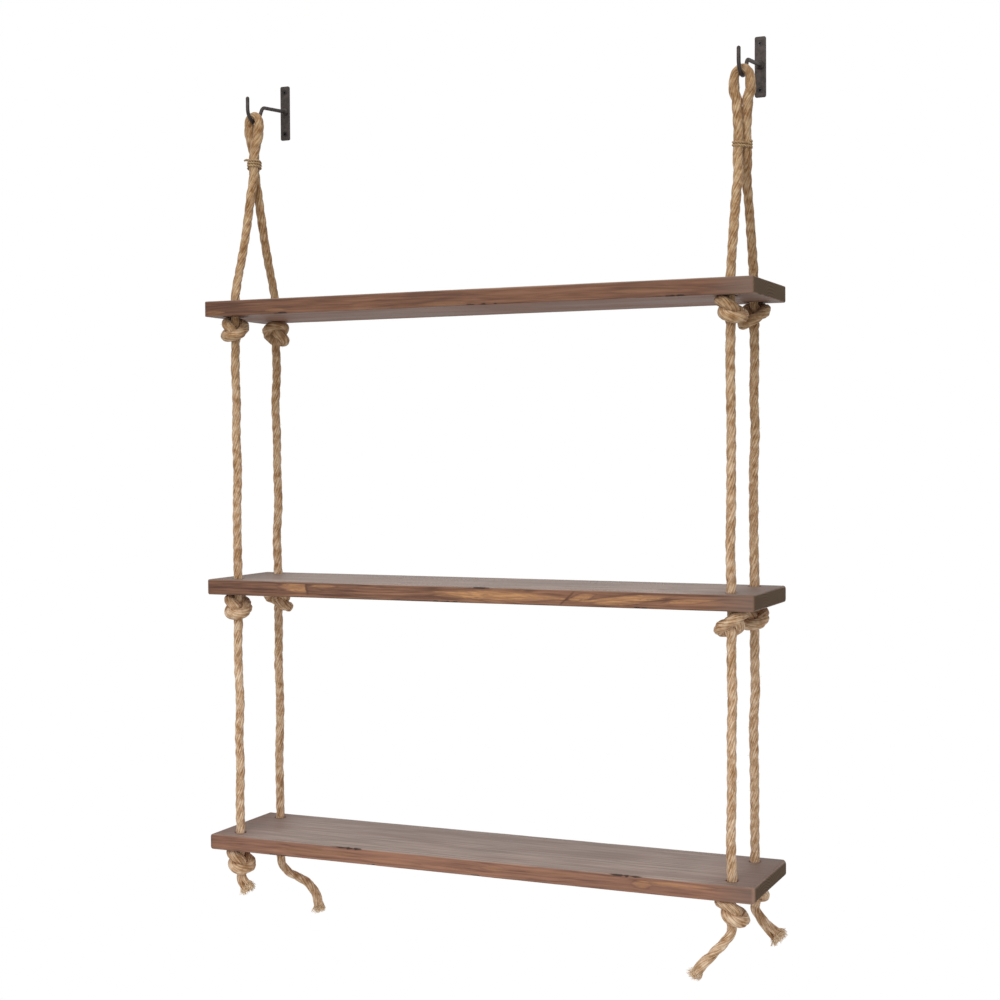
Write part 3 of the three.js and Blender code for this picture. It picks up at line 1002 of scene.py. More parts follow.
class Line:
    """A smooth line through stations, with frames that don't turn about it."""

    FINE_STEP = 0.4 * MM
    SWELL = 0.08
    SWELL_RUN = 19 * MM
    UNLAY_RUN = 3 * MM
    LEAST_LAY_SHARE = 0.15

    def __init__(self, stations: list[Station], step: float) -> None:
        """Sample the line.

        Args:
            stations: What it goes through, in order.
            step: Distance between its points.
        """
        fine, at = self._through(np.array([s.place for s in stations], float))
        reach = np.concatenate([[0], np.cumsum(np.linalg.norm(np.diff(fine, axis=0), axis=1))])
        self.along = np.arange(0, reach[-1], step)
        self.points = np.stack([np.interp(self.along, reach, fine[:, k]) for k in range(3)], axis=1)
        known = reach[at]
        self.marks = {s.mark: float(a) for s, a in zip(stations, known) if s.mark}
        self.girth, self.unlay, self.fuzz = (
            np.interp(self.along, known, [getattr(s, name) for s in stations])
            for name in ("girth", "unlay", "fuzz"))
        self.girth += [
            self.SWELL * noise.noise(Vector((a / self.SWELL_RUN, a * 3, 0))) for a in self.along]
        self.laid = np.cumsum(np.clip(1 - self.unlay / self.UNLAY_RUN, self.LEAST_LAY_SHARE, 1)) * step
        self.across, self.over = self._frames()

    def _through(self, places: np.ndarray) -> tuple[np.ndarray, np.ndarray]:
        """Go through points on a centripetal Catmull-Rom curve.

        Args:
            places: The points.

        Returns:
            Fine points on the curve, and the index among them of each given point.
        """
        p = np.vstack([2 * places[0] - places[1], places, 2 * places[-1] - places[-2]])
        fine, at = [places[:1]], [0]
        for i in range(1, len(p) - 2):
            gaps = [max(np.linalg.norm(p[i + k] - p[i + k - 1]) ** 0.5, 1e-6) for k in range(3)]
            chord = p[i + 1] - p[i]
            leaving = (p[i] - p[i - 1]) / gaps[0] - (p[i + 1] - p[i - 1]) / (gaps[0] + gaps[1])
            leaving = (leaving + chord / gaps[1]) * gaps[1]
            arriving = chord / gaps[1] - (p[i + 2] - p[i]) / (gaps[1] + gaps[2])
            arriving = (arriving + (p[i + 2] - p[i + 1]) / gaps[2]) * gaps[1]
            count = max(4, math.ceil(np.linalg.norm(chord) / self.FINE_STEP))
            t = (np.arange(1, count + 1) / count)[:, None]
            fine.append(p[i] + leaving * t + (3 * chord - 2 * leaving - arriving) * t**2
                        + (leaving + arriving - 2 * chord) * t**3)
            at.append(at[-1] + count)
        return np.vstack(fine), np.array(at)

    def _frames(self) -> tuple[np.ndarray, np.ndarray]:
        """Carry a pair of cross vectors along the line without turning them about it.

        Returns:
            The two vectors at each point.
        """
        tangents = np.gradient(self.points, axis=0)
        tangents /= np.linalg.norm(tangents, axis=1)[:, None]
        headings = [Vector(tangent) for tangent in tangents]
        carried = headings[0].orthogonal().normalized()
        across = []
        for i, heading in enumerate(headings):
            if i:
                carried.rotate(headings[i - 1].rotation_difference(heading))
            carried = (carried - heading * carried.dot(heading)).normalized()
            across.append(tuple(carried))
        return np.array(across), np.cross(tangents, np.array(across))

    def at(self, i: int, angle: float, distance: float) -> Vector:
        """Find a place off the line's point, at an angle about it and a distance from it."""
        side = self.across[i] * math.cos(angle) + self.over[i] * math.sin(angle)
        return Vector(self.points[i] + side * distance)

    def stretch(self, *marks: str) -> slice:
        """Find the points between two marks, whichever comes first, both included."""
        first, last = (int(np.searchsorted(self.along, self.marks[mark])) for mark in marks)
        return slice(min(first, last), min(max(first, last), len(self.along) - 1) + 1)

    def mesh(self, name: str, part: slice) -> Mesh:
        """Make the seed mesh of a stretch, with all that a cordage's tree reads.

        Args:
            name: The mesh's name.
            part: The stretch's points.

        Returns:
            The mesh, a chain of points with their layers.
        """
        layers = ("across", "over", "along", "laid", "girth", "unlay", "fuzz")
        return seeded(name, self.points[part], True,
                      **{layer: getattr(self, layer)[part] for layer in layers})


@dataclass(frozen=True)
class Cordage:
    """How one kind of cord is laid; its tree's inputs are these."""

    strands: int
    lay: float
    strand_centre: float
    strand_radius: float
    sides: int
    yarns: int
    yarn_twist: float
    yarn_relief: float
    step: float
    fibres: float
    fibre_radius: float
    fibre_length: float
    rope_finish: Material
    fibre_finish: Material
    seed: int = 0

    @property
    def laid_radius(self) -> float:
        """Give the radius of the circle that the strands fill together."""
        return self.strand_centre + self.strand_radius

    @staticmethod
    @cache
    def tree() -> bpy.types.NodeTree:
        """Build the tree that lays strands round a line and lets fibres stand off them.

        Returns:
            The finished tree, for a line that carries what Line.mesh gives it.
        """
        growth = Growth("laid_rope", Cordage)
        given, add, read, vector = growth.given, growth.add, growth.read, growth.read_vector
        line = add(Kind.LINE, given.seed_mesh)
        cored = add(Kind.STORE_VECTOR, line, None, "core", add(Kind.POSITION))
        strands = add(Kind.COPY_LINES, cored, None, given.strands)
        apart = strands.other("Duplicate Index") / given.strands
        angle = (read("laid") / given.lay + apart) * FULL_TURN
        distance = given.strand_centre.by("MULTIPLY_ADD", read("girth"), read("unlay"))
        offset = (vector("across") * (angle.by("COSINE") * distance)
                  + vector("over") * (angle.by("SINE") * distance))
        helices = add(Kind.MOVE, strands, None, None, offset)
        circle = add(Kind.CIRCLE, given.sides, 1.0)
        section = add(Kind.STORE_VECTOR, circle, None, "around", add(Kind.POSITION))
        skin = add(Kind.SKIN, helices, section, given.strand_radius * read("girth"), True)
        x, y, _ = vector("around").parts()
        slant = read("along") * given.yarn_twist
        wave = y.by("ARCTAN2", x).by("MULTIPLY_ADD", given.yarns, slant).by("COSINE")
        rise = add(Kind.NORMAL) * (wave * given.yarn_relief)
        yarned = add(Kind.MOVE, skin, None, None, rise)
        from_core = add(Kind.POSITION).by("DISTANCE", vector("core"))
        depth = from_core / (given.strand_centre + given.strand_radius)
        smooth = add(Kind.SMOOTH, add(Kind.STORE_NUMBER, yarned, None, "depth", depth))
        rope = add(Kind.DRESS, smooth, None, given.rope_finish)
        roots = add(Kind.SCATTER, rope, None, given.fibres * read("fuzz"), given.seed)
        fuzz = growth.fibres(roots, roots.other("Rotation"), (-0.9, -0.9, -math.pi),
                             (0.9, 0.9, math.pi), 0.45)
        return growth.finish(fuzz, rope)

    def lay_up(self, name: str, line: Line, part: slice, seed: int) -> Object:
        """Lay the cord along a stretch of a line, its loose fibres by a seed."""
        return grown(name, line.mesh(f"{name}_line", part), self.tree(), vars(self) | {"seed": seed})


@dataclass(frozen=True)
class Bunch:
    """The fibres that spread from each strand's cut tip; their tree's inputs are these."""

    fibre_finish: Material
    count: int = 200
    tip_radius: float = 1.8 * MM
    fibre_radius: float = 0.25 * MM
    fibre_length: float = 10 * MM
    spread: float = 0.3
    seed: int = 0

    @staticmethod
    @cache
    def tree() -> bpy.types.NodeTree:
        """Build the tree that spreads them.

        Returns:
            The finished tree, for points that carry their heading.
        """
        growth = Growth("frayed_tip", Bunch)
        given, add = growth.given, growth.add
        roots = add(Kind.COPY_POINTS, add(Kind.POINTS, given.seed_mesh), None, given.count)
        jitter = add(Kind.RANDOM_VECTOR, (-1, -1, -1), (1, 1, 1), None, given.seed)
        placed = add(Kind.MOVE, roots, None, None, jitter * given.tip_radius)
        along = add(Kind.AIM, None, None, growth.read_vector("heading"))
        back = given.spread * -1.0
        low = add(Kind.JOINED, back, back, -math.pi)
        high = add(Kind.JOINED, given.spread, given.spread, math.pi)
        return growth.finish(growth.fibres(placed, along, low, high, 0.5))


@dataclass(frozen=True)
class BoundEye:
    """A side's rope between its hook and the top plank, and the twine that binds it."""

    shares: Shares
    spread_shares: Shares
    drop: float
    turn: float
    twine_turns: float
    twine_end: float
    twine_slack: float
    arch_share: float

    @property
    def bound_turn(self) -> float:
        """How far the pair of strands has turned where it is bound."""
        return self.shares[-1][2] * self.turn


EYES = {
    Side.LEFT: BoundEye(LEFT_EYE_SHARES, LEFT_SPREAD_SHARES, 54 * MM, -math.pi / 2, 3.0, 5 * MM,
                        0.8 * MM, 1.0),
    Side.RIGHT: BoundEye(RIGHT_EYE_SHARES, RIGHT_SPREAD_SHARES, 77 * MM, math.pi / 2, 2.5, 0.0,
                         -0.4 * MM, 1.1),
}


@dataclass
class Rope:
    """One rope: up from its front loose end, over its hook, and down to its rear loose end."""

    line: Line = field(init=False)
    side: Side
    cordage: Cordage
    bunch: Bunch
    plank_faces: dict[Level, float]
    plank_thickness: float
    hook_x: float
    hook_y: float
    hole_half_span: float
    seam_depth: float = 8 * MM
    knot_girth: float = 1.2
    pressed_girth: float = 0.94
    mouth_girth: float = 1.08
    mouth_run: float = 7 * MM
    bound_girth: float = 0.08
    bound_run_share: float = 0.45
    near_girth: float = 1.04
    knot_fuzz: float = 0.6
    arch_steps: int = 6
    leg_wander: float = 1.2 * MM
    blend_rise: float = 3 * MM
    blend_run: float = 24 * MM
    tip_run: float = 4 * MM

    def build(self) -> None:
        """Lay the rope and cut it into pieces, putting those under the bottom plank on its tier."""
        front, rear = (self._row(row) for row in Row)
        self.line = Line(front[::-1] + self._over_hook() + rear, self.cordage.step)
        self._loop()
        for row in Row:
            self._legs(row)
            self._end(row)

    @property
    def eye(self) -> BoundEye:
        """Give the rope's way from its hook to the top plank."""
        return EYES[self.side]

    def _strand(self, sign: float) -> list[Station]:
        """List one strand's stations from the rod down to the mouth of its hole.

        Args:
            sign: Which strand of the pair, 1 or -1.

        Returns:
            The stations.
        """
        eye = self.eye
        mouth = -self.plank_faces[Level.TOP] - SEAT_DROP - FLEX_GAP

        def station(drop: float, half: float, turn: float, girth: float, fuzz: float) -> Station:
            """Place a station of the eye.

            Args:
                drop: How far it is under the seat.
                half: Half of the pair's spread there.
                turn: How far the pair is turned there.
                girth: The rope's girth there.
                fuzz: How many loose fibres it has there.

            Returns:
                The station.
            """
            return Station(Vector((self.hook_x + sign * half * math.cos(turn),
                                   self.hook_y + sign * half * math.sin(turn),
                                   -SEAT_DROP - drop)), girth, fuzz=fuzz)

        stations = [station(down * eye.drop, spread * BOUND_HALF_SPAN, turn * eye.turn, girth, 1.0)
                    for down, spread, turn, girth in eye.shares]
        for down, spread, turn in eye.spread_shares:
            drop = eye.drop + (mouth - eye.drop) * down
            half = BOUND_HALF_SPAN + (self.hole_half_span - BOUND_HALF_SPAN) * spread
            way = eye.bound_turn + (eye.turn - eye.bound_turn) * turn
            girth = 1 + self.bound_girth * max(0.0, 1 - down / self.bound_run_share)
            stations.append(station(drop, half, way, self.mouth_girth if down == 1 else girth,
                                    0.0 if mouth - drop < self.mouth_run else 1.0))
        return stations

    def _over_hook(self) -> list[Station]:
        """List the rope's stations from the front hole's mouth over the hook to the rear one's.

        Returns:
            The stations.
        """
        sign = -math.copysign(1, self.eye.turn)
        arch = (ROD_DIAMETER + ROPE_DIAMETER) / 2 + SEAT_GAP
        over = []
        for i in range(self.arch_steps + 1):
            angle = math.pi * i / self.arch_steps
            place = Vector((self.hook_x + sign * arch * self.eye.arch_share * math.cos(angle),
                            self.hook_y, arch * math.sin(angle) - SEAT_DROP))
            girth = 1 + (self.pressed_girth - 1) * math.sin(angle)
            over.append(Station(place, girth, fuzz=0.0))
        return self._strand(sign)[::-1] + over + self._strand(-sign)

    def _row(self, row: Row) -> list[Station]:
        """List a row's stations from the top plank's holes down to its loose end.

        Args:
            row: The row.

        Returns:
            The stations.
        """
        y = self.hook_y + (-1 if row is Row.FRONT else 1) * self.hole_half_span
        below = [self.plank_faces[level] + FLEX_GAP for level in Level][1:]
        stations: list[Station] = []
        for i, level in enumerate(Level):
            face = Vector((self.hook_x, y, self.plank_faces[level]))
            stations += self._knot(f"{row.value}_{level.value}", face, KNOT_TURNS[self.side, row][i])
            leaves = stations[-1].place
            stations += self._leg(leaves, below[i]) if i < len(below) else self._tail(row, leaves)
        return stations

    def _knot(self, stem: str, face: Vector, turn: float) -> list[Station]:
        """List the stations through a plank's hole and the knot under it.

        Args:
            stem: What the marks at its ends are named for.
            face: The hole's mouth.
            turn: The knot's turn in degrees.

        Returns:
            The stations.
        """
        under = face - Vector((0, 0, self.plank_thickness))
        centre = under.z - SEAT_GAP - KNOT_HALF_HEIGHT_SHARE * ROPE_DIAMETER
        half = [Vector(share) * ROPE_DIAMETER for share in KNOT_SHARES]
        body = half[::-1] + [Vector((p.x, -p.y, -p.z)) for p in half[1:]]
        place = Matrix.Translation((face.x, face.y, centre)) @ Matrix.Rotation(
            math.radians(turn), 4, "Z")
        stations = [
            Station(face - Vector((0, 0, self.seam_depth)), self.pressed_girth, fuzz=0.0,
                    mark=f"{stem}_hole"),
            Station(under, self.pressed_girth, fuzz=0.0),
        ]
        for i, p in enumerate(body):
            point = place @ p
            room = (face.z - self.plank_thickness - point.z) / self.cordage.laid_radius
            girth = min(self.knot_girth, max(self.pressed_girth, room))
            fuzz = 0.0 if i < KNOT_COVERED_POINTS else self.knot_fuzz
            stations.append(Station(point, girth, fuzz=fuzz))
        leaves = Vector((face.x, face.y, centre - KNOT_EXIT_SHARE * ROPE_DIAMETER))
        return stations + [Station(leaves, mark=f"{stem}_exit")]

    def _leg(self, top: Vector, bottom: float) -> list[Station]:
        """List the stations of a free leg, which wanders a little from a straight line.

        Args:
            top: Where it leaves its knot.
            bottom: Height where it meets the next plank.

        Returns:
            The stations.
        """
        stations = []
        for i, share in enumerate(LEG_SHARES):
            z = top.z + (bottom - top.z) * share
            seed = Vector((z * 31, top.y * 57, self.hook_x * 11 + i))
            wander = noise.noise_vector(seed) * self.leg_wander * 2
            stations.append(Station(Vector((top.x + wander.x, top.y + wander.y, z))))
        near, mouth = (Vector((top.x, top.y, z)) for z in (bottom + self.mouth_run, bottom))
        return stations + [Station(near, self.near_girth, fuzz=0.5),
                           Station(mouth, self.mouth_girth, fuzz=0.0)]

    def _tail(self, row: Row, top: Vector) -> list[Station]:
        """List the stations of a loose end, whose strands come apart towards its tip.

        Args:
            row: Its row.
            top: Where it leaves its knot.

        Returns:
            The stations.
        """
        shares = TAIL_SHARES[self.side, row]
        flares = [TAIL_FLARE[self.side, row] * share for share in TIP_FLARE_SHARES]
        stations = []
        for i, share in enumerate(shares):
            left = len(shares) - 1 - i
            stations.append(Station(
                top - Vector((0, 0, SEAT_GAP)) + Vector(share) * ROPE_DIAMETER,
                TIP_GIRTHS[min(left, 2)], flares[left] if left < len(flares) else 0.0,
                0.5 if left > 1 else 0.0, f"{row.value}_tip" if left == 0 else ""))
        return stations

    def _loop(self) -> None:
        """Lay the loop over the hook with both its legs down into the top plank."""
        side, line = self.side.value, self.line
        piece = self.cordage.lay_up(f"{side}_rope_over_hook", line,
                                    line.stretch("front_top_hole", "rear_top_hole"), seed=1)
        swing = -SEAT_DROP - SWING_DROP
        swing + self.blend_run / 2
        swing - self.blend_run / 2
        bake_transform(piece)
        settled(piece, "jute_rope", f"{side}_rope_eye",
                *(f"{side}_{row.value}_top_rope" for row in Row))

    def _legs(self, row: Row) -> None:
        """Lay each knot with the leg below it, down into the next plank.

        Args:
            row: The row.
        """
        side, line, levels = self.side.value, self.line, [level.value for level in Level]
        for i, (upper, lower) in enumerate(zip(levels, levels[1:])):
            part = line.stretch(f"{row.value}_{upper}_hole", f"{row.value}_{lower}_hole")
            piece = self.cordage.lay_up(f"{side}_{row.value}_rope_{upper}_to_{lower}", line, part,
                                        seed=10 * i + len(row.value))
            x, y, z = line.points[np.searchsorted(line.along, line.marks[f"{row.value}_{upper}_exit"])]
            start = z + self.blend_rise
            start - self.blend_run
            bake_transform(piece)
            settled(piece, "jute_rope", f"{side}_{row.value}_{upper}_knot",
                    f"{side}_{row.value}_{lower}_rope")

    def _end(self, row: Row) -> None:
        """Lay the bottom knot and the loose end below it, with its frayed tip.

        Args:
            row: The row.
        """
        stem, line = f"{self.side.value}_{row.value}", self.line
        hole, leaves, tip = (f"{row.value}_{name}" for name in ("bottom_hole", "bottom_exit", "tip"))
        knot = self.cordage.lay_up(f"{stem}_bottom_knot_rope", line, line.stretch(hole, leaves),
                                   seed=31)
        part = line.stretch(leaves, tip)
        tail = self.cordage.lay_up(f"{stem}_loose_end", line, part, seed=41)
        forward = line.marks[tip] > line.marks[leaves]
        fray = self._fray(f"{stem}_frayed_tip", *((part.stop - 1, -1) if forward else (part.start, 1)))
        for piece in (knot, tail, fray):
            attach(piece, "bottom_tier")
        settled(knot, "jute_rope", f"{stem}_bottom_knot")
        settled(tail, "jute_rope", f"{stem}_rope_end")
        settled(fray, "jute_rope")

    def _fray(self, name: str, last: int, back: int) -> Object:
        """Spread a bunch of fibres from the tip of each strand of a loose end.

        Args:
            name: The piece's name.
            last: The line's point at the tip.
            back: Which way the line comes from there, 1 or -1.

        Returns:
            The piece.
        """
        line, cordage = self.line, self.cordage
        tips, headings = [], []
        for k in range(cordage.strands):
            before, end = (
                line.at(i, FULL_TURN * (line.laid[i] / cordage.lay + k / cordage.strands),
                        cordage.strand_centre * line.girth[i] + line.unlay[i])
                for i in (last + 3 * back, last))
            headings.append((end - before).normalized())
            tips.append(end - headings[-1] * self.tip_run)
        return grown(name, seeded(f"{name}_seed", tips, False, heading=headings),
                     self.bunch.tree(), vars(self.bunch) | {"seed": len(name)})


@dataclass
class TwineBinding:
    """The twine wound round a pair of strands, with a short end sticking out."""

    side: Side
    cordage: Cordage
    hook_x: float
    hook_y: float
    arc_steps: int = 9

    def build(self) -> None:
        """Wind the twine."""
        eye = EYES[self.side]
        radius = (ROPE_DIAMETER + TWINE_DIAMETER) / 2 + eye.twine_slack
        pitch, turn = TWINE_DIAMETER + TWINE_GAP, eye.bound_turn
        per_turn = 2 * (self.arc_steps + 1)
        stations = []
        for i in range(round(eye.twine_turns * per_turn) + 1):
            arc, step = divmod(i, self.arc_steps + 1)
            end = -1 if arc % 2 else 1
            angle = math.pi * (step / self.arc_steps - 0.5)
            across = end * (BOUND_HALF_SPAN + radius * math.cos(angle))
            along = end * radius * math.sin(angle)
            climb = pitch * (eye.twine_turns / 2 - i / per_turn)
            stations.append(Station(Vector((
                self.hook_x + across * math.cos(turn) - along * math.sin(turn),
                self.hook_y + across * math.sin(turn) + along * math.cos(turn),
                climb - SEAT_DROP - eye.drop))))
        if eye.twine_end:
            tip = stations[0].place
            stations = [
                Station(tip + Vector((-1.0, -0.2, -0.1)) * eye.twine_end, 0.6),
                Station(tip + Vector((-0.55, -0.2, 0.12)) * eye.twine_end),
            ] + stations
        line = Line(stations, self.cordage.step)
        piece = self.cordage.lay_up(f"{self.side.value}_wound_twine", line,
                                    slice(0, len(line.along)), seed=7)
        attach(piece, "rope_eyes")
        settled(piece, "jute_twine", f"{self.side.value}_twine_binding")


# Bars: planks and hook plates


@dataclass(frozen=True)
class Chip:
    """Where a long arris is knocked off: from the bar's left end, length and depth, in mm."""

    arris: Arris
    x: float
    length: float
    depth: float


@dataclass(frozen=True)
class WornBar:
    """A straight bar of rectangular section, along X, with eased and worn arrises."""

    ARRIS_WAVE, ARRIS_RIPPLE, CHIP_RIPPLE = 60 * MM, 11 * MM, 5 * MM
    FACE_WAVE, SECTION_WAVE = 45 * MM, 30 * MM

    size: Vector
    arris: float
    wander: float
    end_round: float
    corner_round: float
    unevenness: float
    spacing: float
    seed: float
    chips: tuple[Chip, ...] = ()
    arc_steps: int = 6
    round_steps: int = 5
    broad_shares: tuple[float, ...] = (0.03, 0.12, 0.3, 0.5, 0.7, 0.88, 0.97)
    narrow_shares: tuple[float, ...] = (0.15, 0.5, 0.85)

    def chip_at(self, arris: Arris, x: float) -> float:
        """Find how far an arris is knocked off at a place.

        Args:
            arris: Which arris.
            x: Place from the bar's middle.

        Returns:
            The depth in metres.
        """
        total = 0.0
        for chip in self.chips:
            if chip.arris is arris:
                away = abs(x / MM + self.size.x / MM / 2 - chip.x) / (chip.length / 2)
                ragged = 0.7 + 0.8 * noise.noise(Vector((x / self.CHIP_RIPPLE, self.seed, chip.x)))
                total += chip.depth * MM * ragged * math.exp(-away**4)
        return total

    def _inset(self, x: float, radius: float) -> float:
        """Find how far a round end of a radius draws a side in at a place."""
        into = radius - (self.size.x / 2 - abs(x))
        return radius - math.sqrt(max(0.0, radius**2 - into**2)) if into > 0 else 0.0

    def _arc(self, i: int, arris: Arris, x: float) -> list[Vector]:
        """List the points of one arris at a station, whose sides are drawn in near the ends.

        Args:
            i: The arris's place round the outline.
            arris: The arris.
            x: The station, from the bar's middle.

        Returns:
            Points across and up.
        """
        back, upper = arris.value
        uneven = noise.noise(Vector((x / self.ARRIS_WAVE, self.seed + i * 9, 0)))
        fine = noise.noise(Vector((x / self.ARRIS_RIPPLE, self.seed + i * 5, 3)))
        radius = self.arris + self.wander * (uneven + 0.5 * fine) + self.chip_at(arris, x)
        radius = min(max(radius, self.arris / 4), self.size.z * 0.4)
        centre = Vector((back * (self.size.y / 2 - self._inset(x, self.corner_round) - radius),
                         upper * (self.size.z / 2 - self._inset(x, self.end_round) - radius)))
        angles = [math.pi / 2 * (i - 1 + k / self.arc_steps) for k in range(self.arc_steps + 1)]
        return [centre + radius * Vector((math.cos(a), math.sin(a))) for a in angles]

    def _section(self, x: float) -> list[Vector]:
        """List the outline's points at a station.

        Args:
            x: The station, from the bar's middle.

        Returns:
            The points, a little uneven between the arrises.
        """
        arcs = [self._arc(i, arris, x) for i, arris in enumerate(Arris)]
        outline = []
        for i, arc in enumerate(arcs):
            following = arcs[(i + 1) % len(arcs)][0]
            shares = self.broad_shares if i % 2 else self.narrow_shares
            outline += arc + [arc[-1].lerp(following, share) for share in shares]
        points = []
        for y, z in outline:
            bump = noise.noise(
                Vector((x / self.FACE_WAVE, y / self.SECTION_WAVE + self.seed, z / MM)))
            inward = self.unevenness * (0.5 + 0.5 * bump)
            points.append(Vector((x, y * (1 - inward / self.size.y), z * (1 - inward / self.size.z))))
        return points

    def mesh(self, name: str) -> Mesh:
        """Make the closed mesh of the bar, centred on the origin.

        Args:
            name: The mesh's name.

        Returns:
            The mesh.
        """
        steps = self.round_steps
        rounding = sorted({
            self.size.x / 2 - radius * (1 - math.sin(math.pi / 2 * i / steps))
            for radius in (self.end_round, self.corner_round) for i in range(steps + 1)
        })
        count = math.ceil(2 * rounding[0] / self.spacing)
        inner = [rounding[0] * (2 * i / count - 1) for i in range(1, count)]
        return lofted(name, [self._section(x) for x in
                             [-x for x in reversed(rounding)] + inner + rounding])


@dataclass(frozen=True)
class Plank:
    """One stained pine plank with its four rope holes and the wear on its arrises."""

    level: Level
    stain: dict[str, Any]
    chips: tuple[Chip, ...]
    seed: float
    end_round: float
    hole_radius: float
    hole_spans: tuple[float, float]
    rim: float = 0.7 * MM
    overrun: float = 4 * MM

    def build(self) -> None:
        """Make the plank and dress it."""
        node = f"{self.level.value}_plank"
        low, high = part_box(node)
        size, centre = high - low, (low + high) / 2
        bar = WornBar(size, arris=1.4 * MM, wander=0.8 * MM, end_round=self.end_round,
                      corner_round=4.5 * MM, unevenness=0.25 * MM, spacing=3.5 * MM,
                      seed=self.seed, chips=self.chips)
        wide, half = self.hole_radius + self.rim + self.overrun, size.z / 2
        drill = revolved("rope_hole_drill", [
            (wide, half + self.overrun), (self.hole_radius, half - self.rim),
            (self.hole_radius, self.rim - half), (wide, -half - self.overrun),
        ], sides=40)
        places = [Matrix.Translation((x * self.hole_spans[0], y * self.hole_spans[1], 0))
                  for x in (-1, 1) for y in (-1, 1)]
        mesh = drilled(bar.mesh(f"worn_{node}"), drill, places)
        self._mark_chips(mesh, bar)
        mesh.transform(Matrix.Translation(centre))
        pine = StainedPine(
            name=f"walnut_stained_pine_{self.level.value}", centre=centre, half=size / 2,
            hole_spans=self.hole_spans, hole_radius=self.hole_radius, seed=self.seed, **self.stain)
        piece = dressed(f"worn_{node}", mesh, pine.build(), 38)
        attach(piece, f"{self.level.value}_tier")
        settled(piece, "pine", node)

    @staticmethod
    def _mark_chips(mesh: Mesh, bar: WornBar) -> None:
        """Write how chipped each point is.

        Args:
            mesh: The plank's mesh, centred on the origin.
            bar: The bar that it was made from.
        """
        chipped = []
        for vertex in mesh.vertices:
            x, y, z = vertex.co
            depth = bar.chip_at(Arris((1 if y > 0 else -1, 1 if z > 0 else -1)), x)
            reach = math.hypot(bar.size.y / 2 - abs(y), bar.size.z / 2 - abs(z))
            chipped.append(min(1.0, depth / MM) if reach < depth + 1 * MM else 0.0)
        mesh.attributes.new("chip", "FLOAT", "POINT").data.foreach_set("value", chipped)


# Each plank's stain with its flames, its chips, seed and how round its ends are
PLANKS: dict[Level, tuple[dict[str, Any], tuple[Chip, ...], float, float]] = {
    Level.TOP: ({
        "dark": "#5e4234", "body": "#76523f", "warm": "#86604c",
        "flames": (
            Flame(14, -5, 34, 6, 0.35), Flame(104, -5, 40, 5, 0.3, -1),
            Flame(330, -6, 80, 5, 0.25, 1), Flame(575, -2, 90, 6, 0.2, -2),
        ),
    }, (
        Chip(Arris.FRONT_UNDER, 110, 22, 1.1), Chip(Arris.FRONT_UNDER, 378, 46, 1.1),
        Chip(Arris.FRONT_UNDER, 612, 26, 1.5), Chip(Arris.BACK_UPPER, 250, 40, 1.0),
    ), 1.3, 2.2 * MM),
    Level.MIDDLE: ({
        "dark": "#5c4033", "body": "#7e5a48", "warm": "#986e55",
        "flames": (
            Flame(132, 1.5, 66, 12, 0.85, -4, 143, 0.2), Flame(166, 5, 42, 5, 0.6, 1),
            Flame(393, 0.5, 190, 15, 0.9, -2, 482, -1.1), Flame(376, 1.5, 120, 8, 0.5, -1),
            Flame(500, 1, 34, 9, 0.7, 7), Flame(556, 1, 120, 8, 0.9, 10),
            Flame(542, -4, 70, 5, 0.6, 3), Flame(626, 0, 72, 7, 0.7, 7),
        ),
    }, (
        Chip(Arris.FRONT_UPPER, 372, 48, 1.0), Chip(Arris.FRONT_UNDER, 328, 44, 1.1),
        Chip(Arris.FRONT_UNDER, 570, 18, 1.1), Chip(Arris.BACK_UNDER, 180, 50, 1.2),
    ), 4.6, 3.2 * MM),
    Level.BOTTOM: ({
        "dark": "#745345", "body": "#926a58", "warm": "#a57861", "worn": "#ac8a76",
        # Stronger painted shade and painted highlight on the end corners
        "corner_wear": 0.6,
        "flames": (
            Flame(570, 1, 26, 9, 0.5), Flame(390, 2, 36, 7, 0.35), Flame(150, 0, 120, 10, 0.25, 2),
            Flame(250, -2, 90, 7, 0.25, -1), Flame(470, 3, 90, 5, 0.25), Flame(612, 4, 90, 6, 0.6),
        ),
    }, (
        Chip(Arris.FRONT_UNDER, 98, 28, 1.1), Chip(Arris.FRONT_UPPER, 195, 44, 1.5),
        Chip(Arris.FRONT_UNDER, 228, 14, 1.1), Chip(Arris.FRONT_UNDER, 365, 14, 1.2),
        Chip(Arris.FRONT_UPPER, 552, 40, 1.2), Chip(Arris.BACK_UPPER, 480, 40, 1.2),
    ), 7.2, 5.0 * MM),
}
# Each hook's seed, and the turns of its two screws
HOOK_SEEDS = {Side.LEFT: 3.7, Side.RIGHT: 8.1}
SCREW_TURNS = {Side.LEFT: (0.4, 1.1), Side.RIGHT: (0.7, 0.1)}


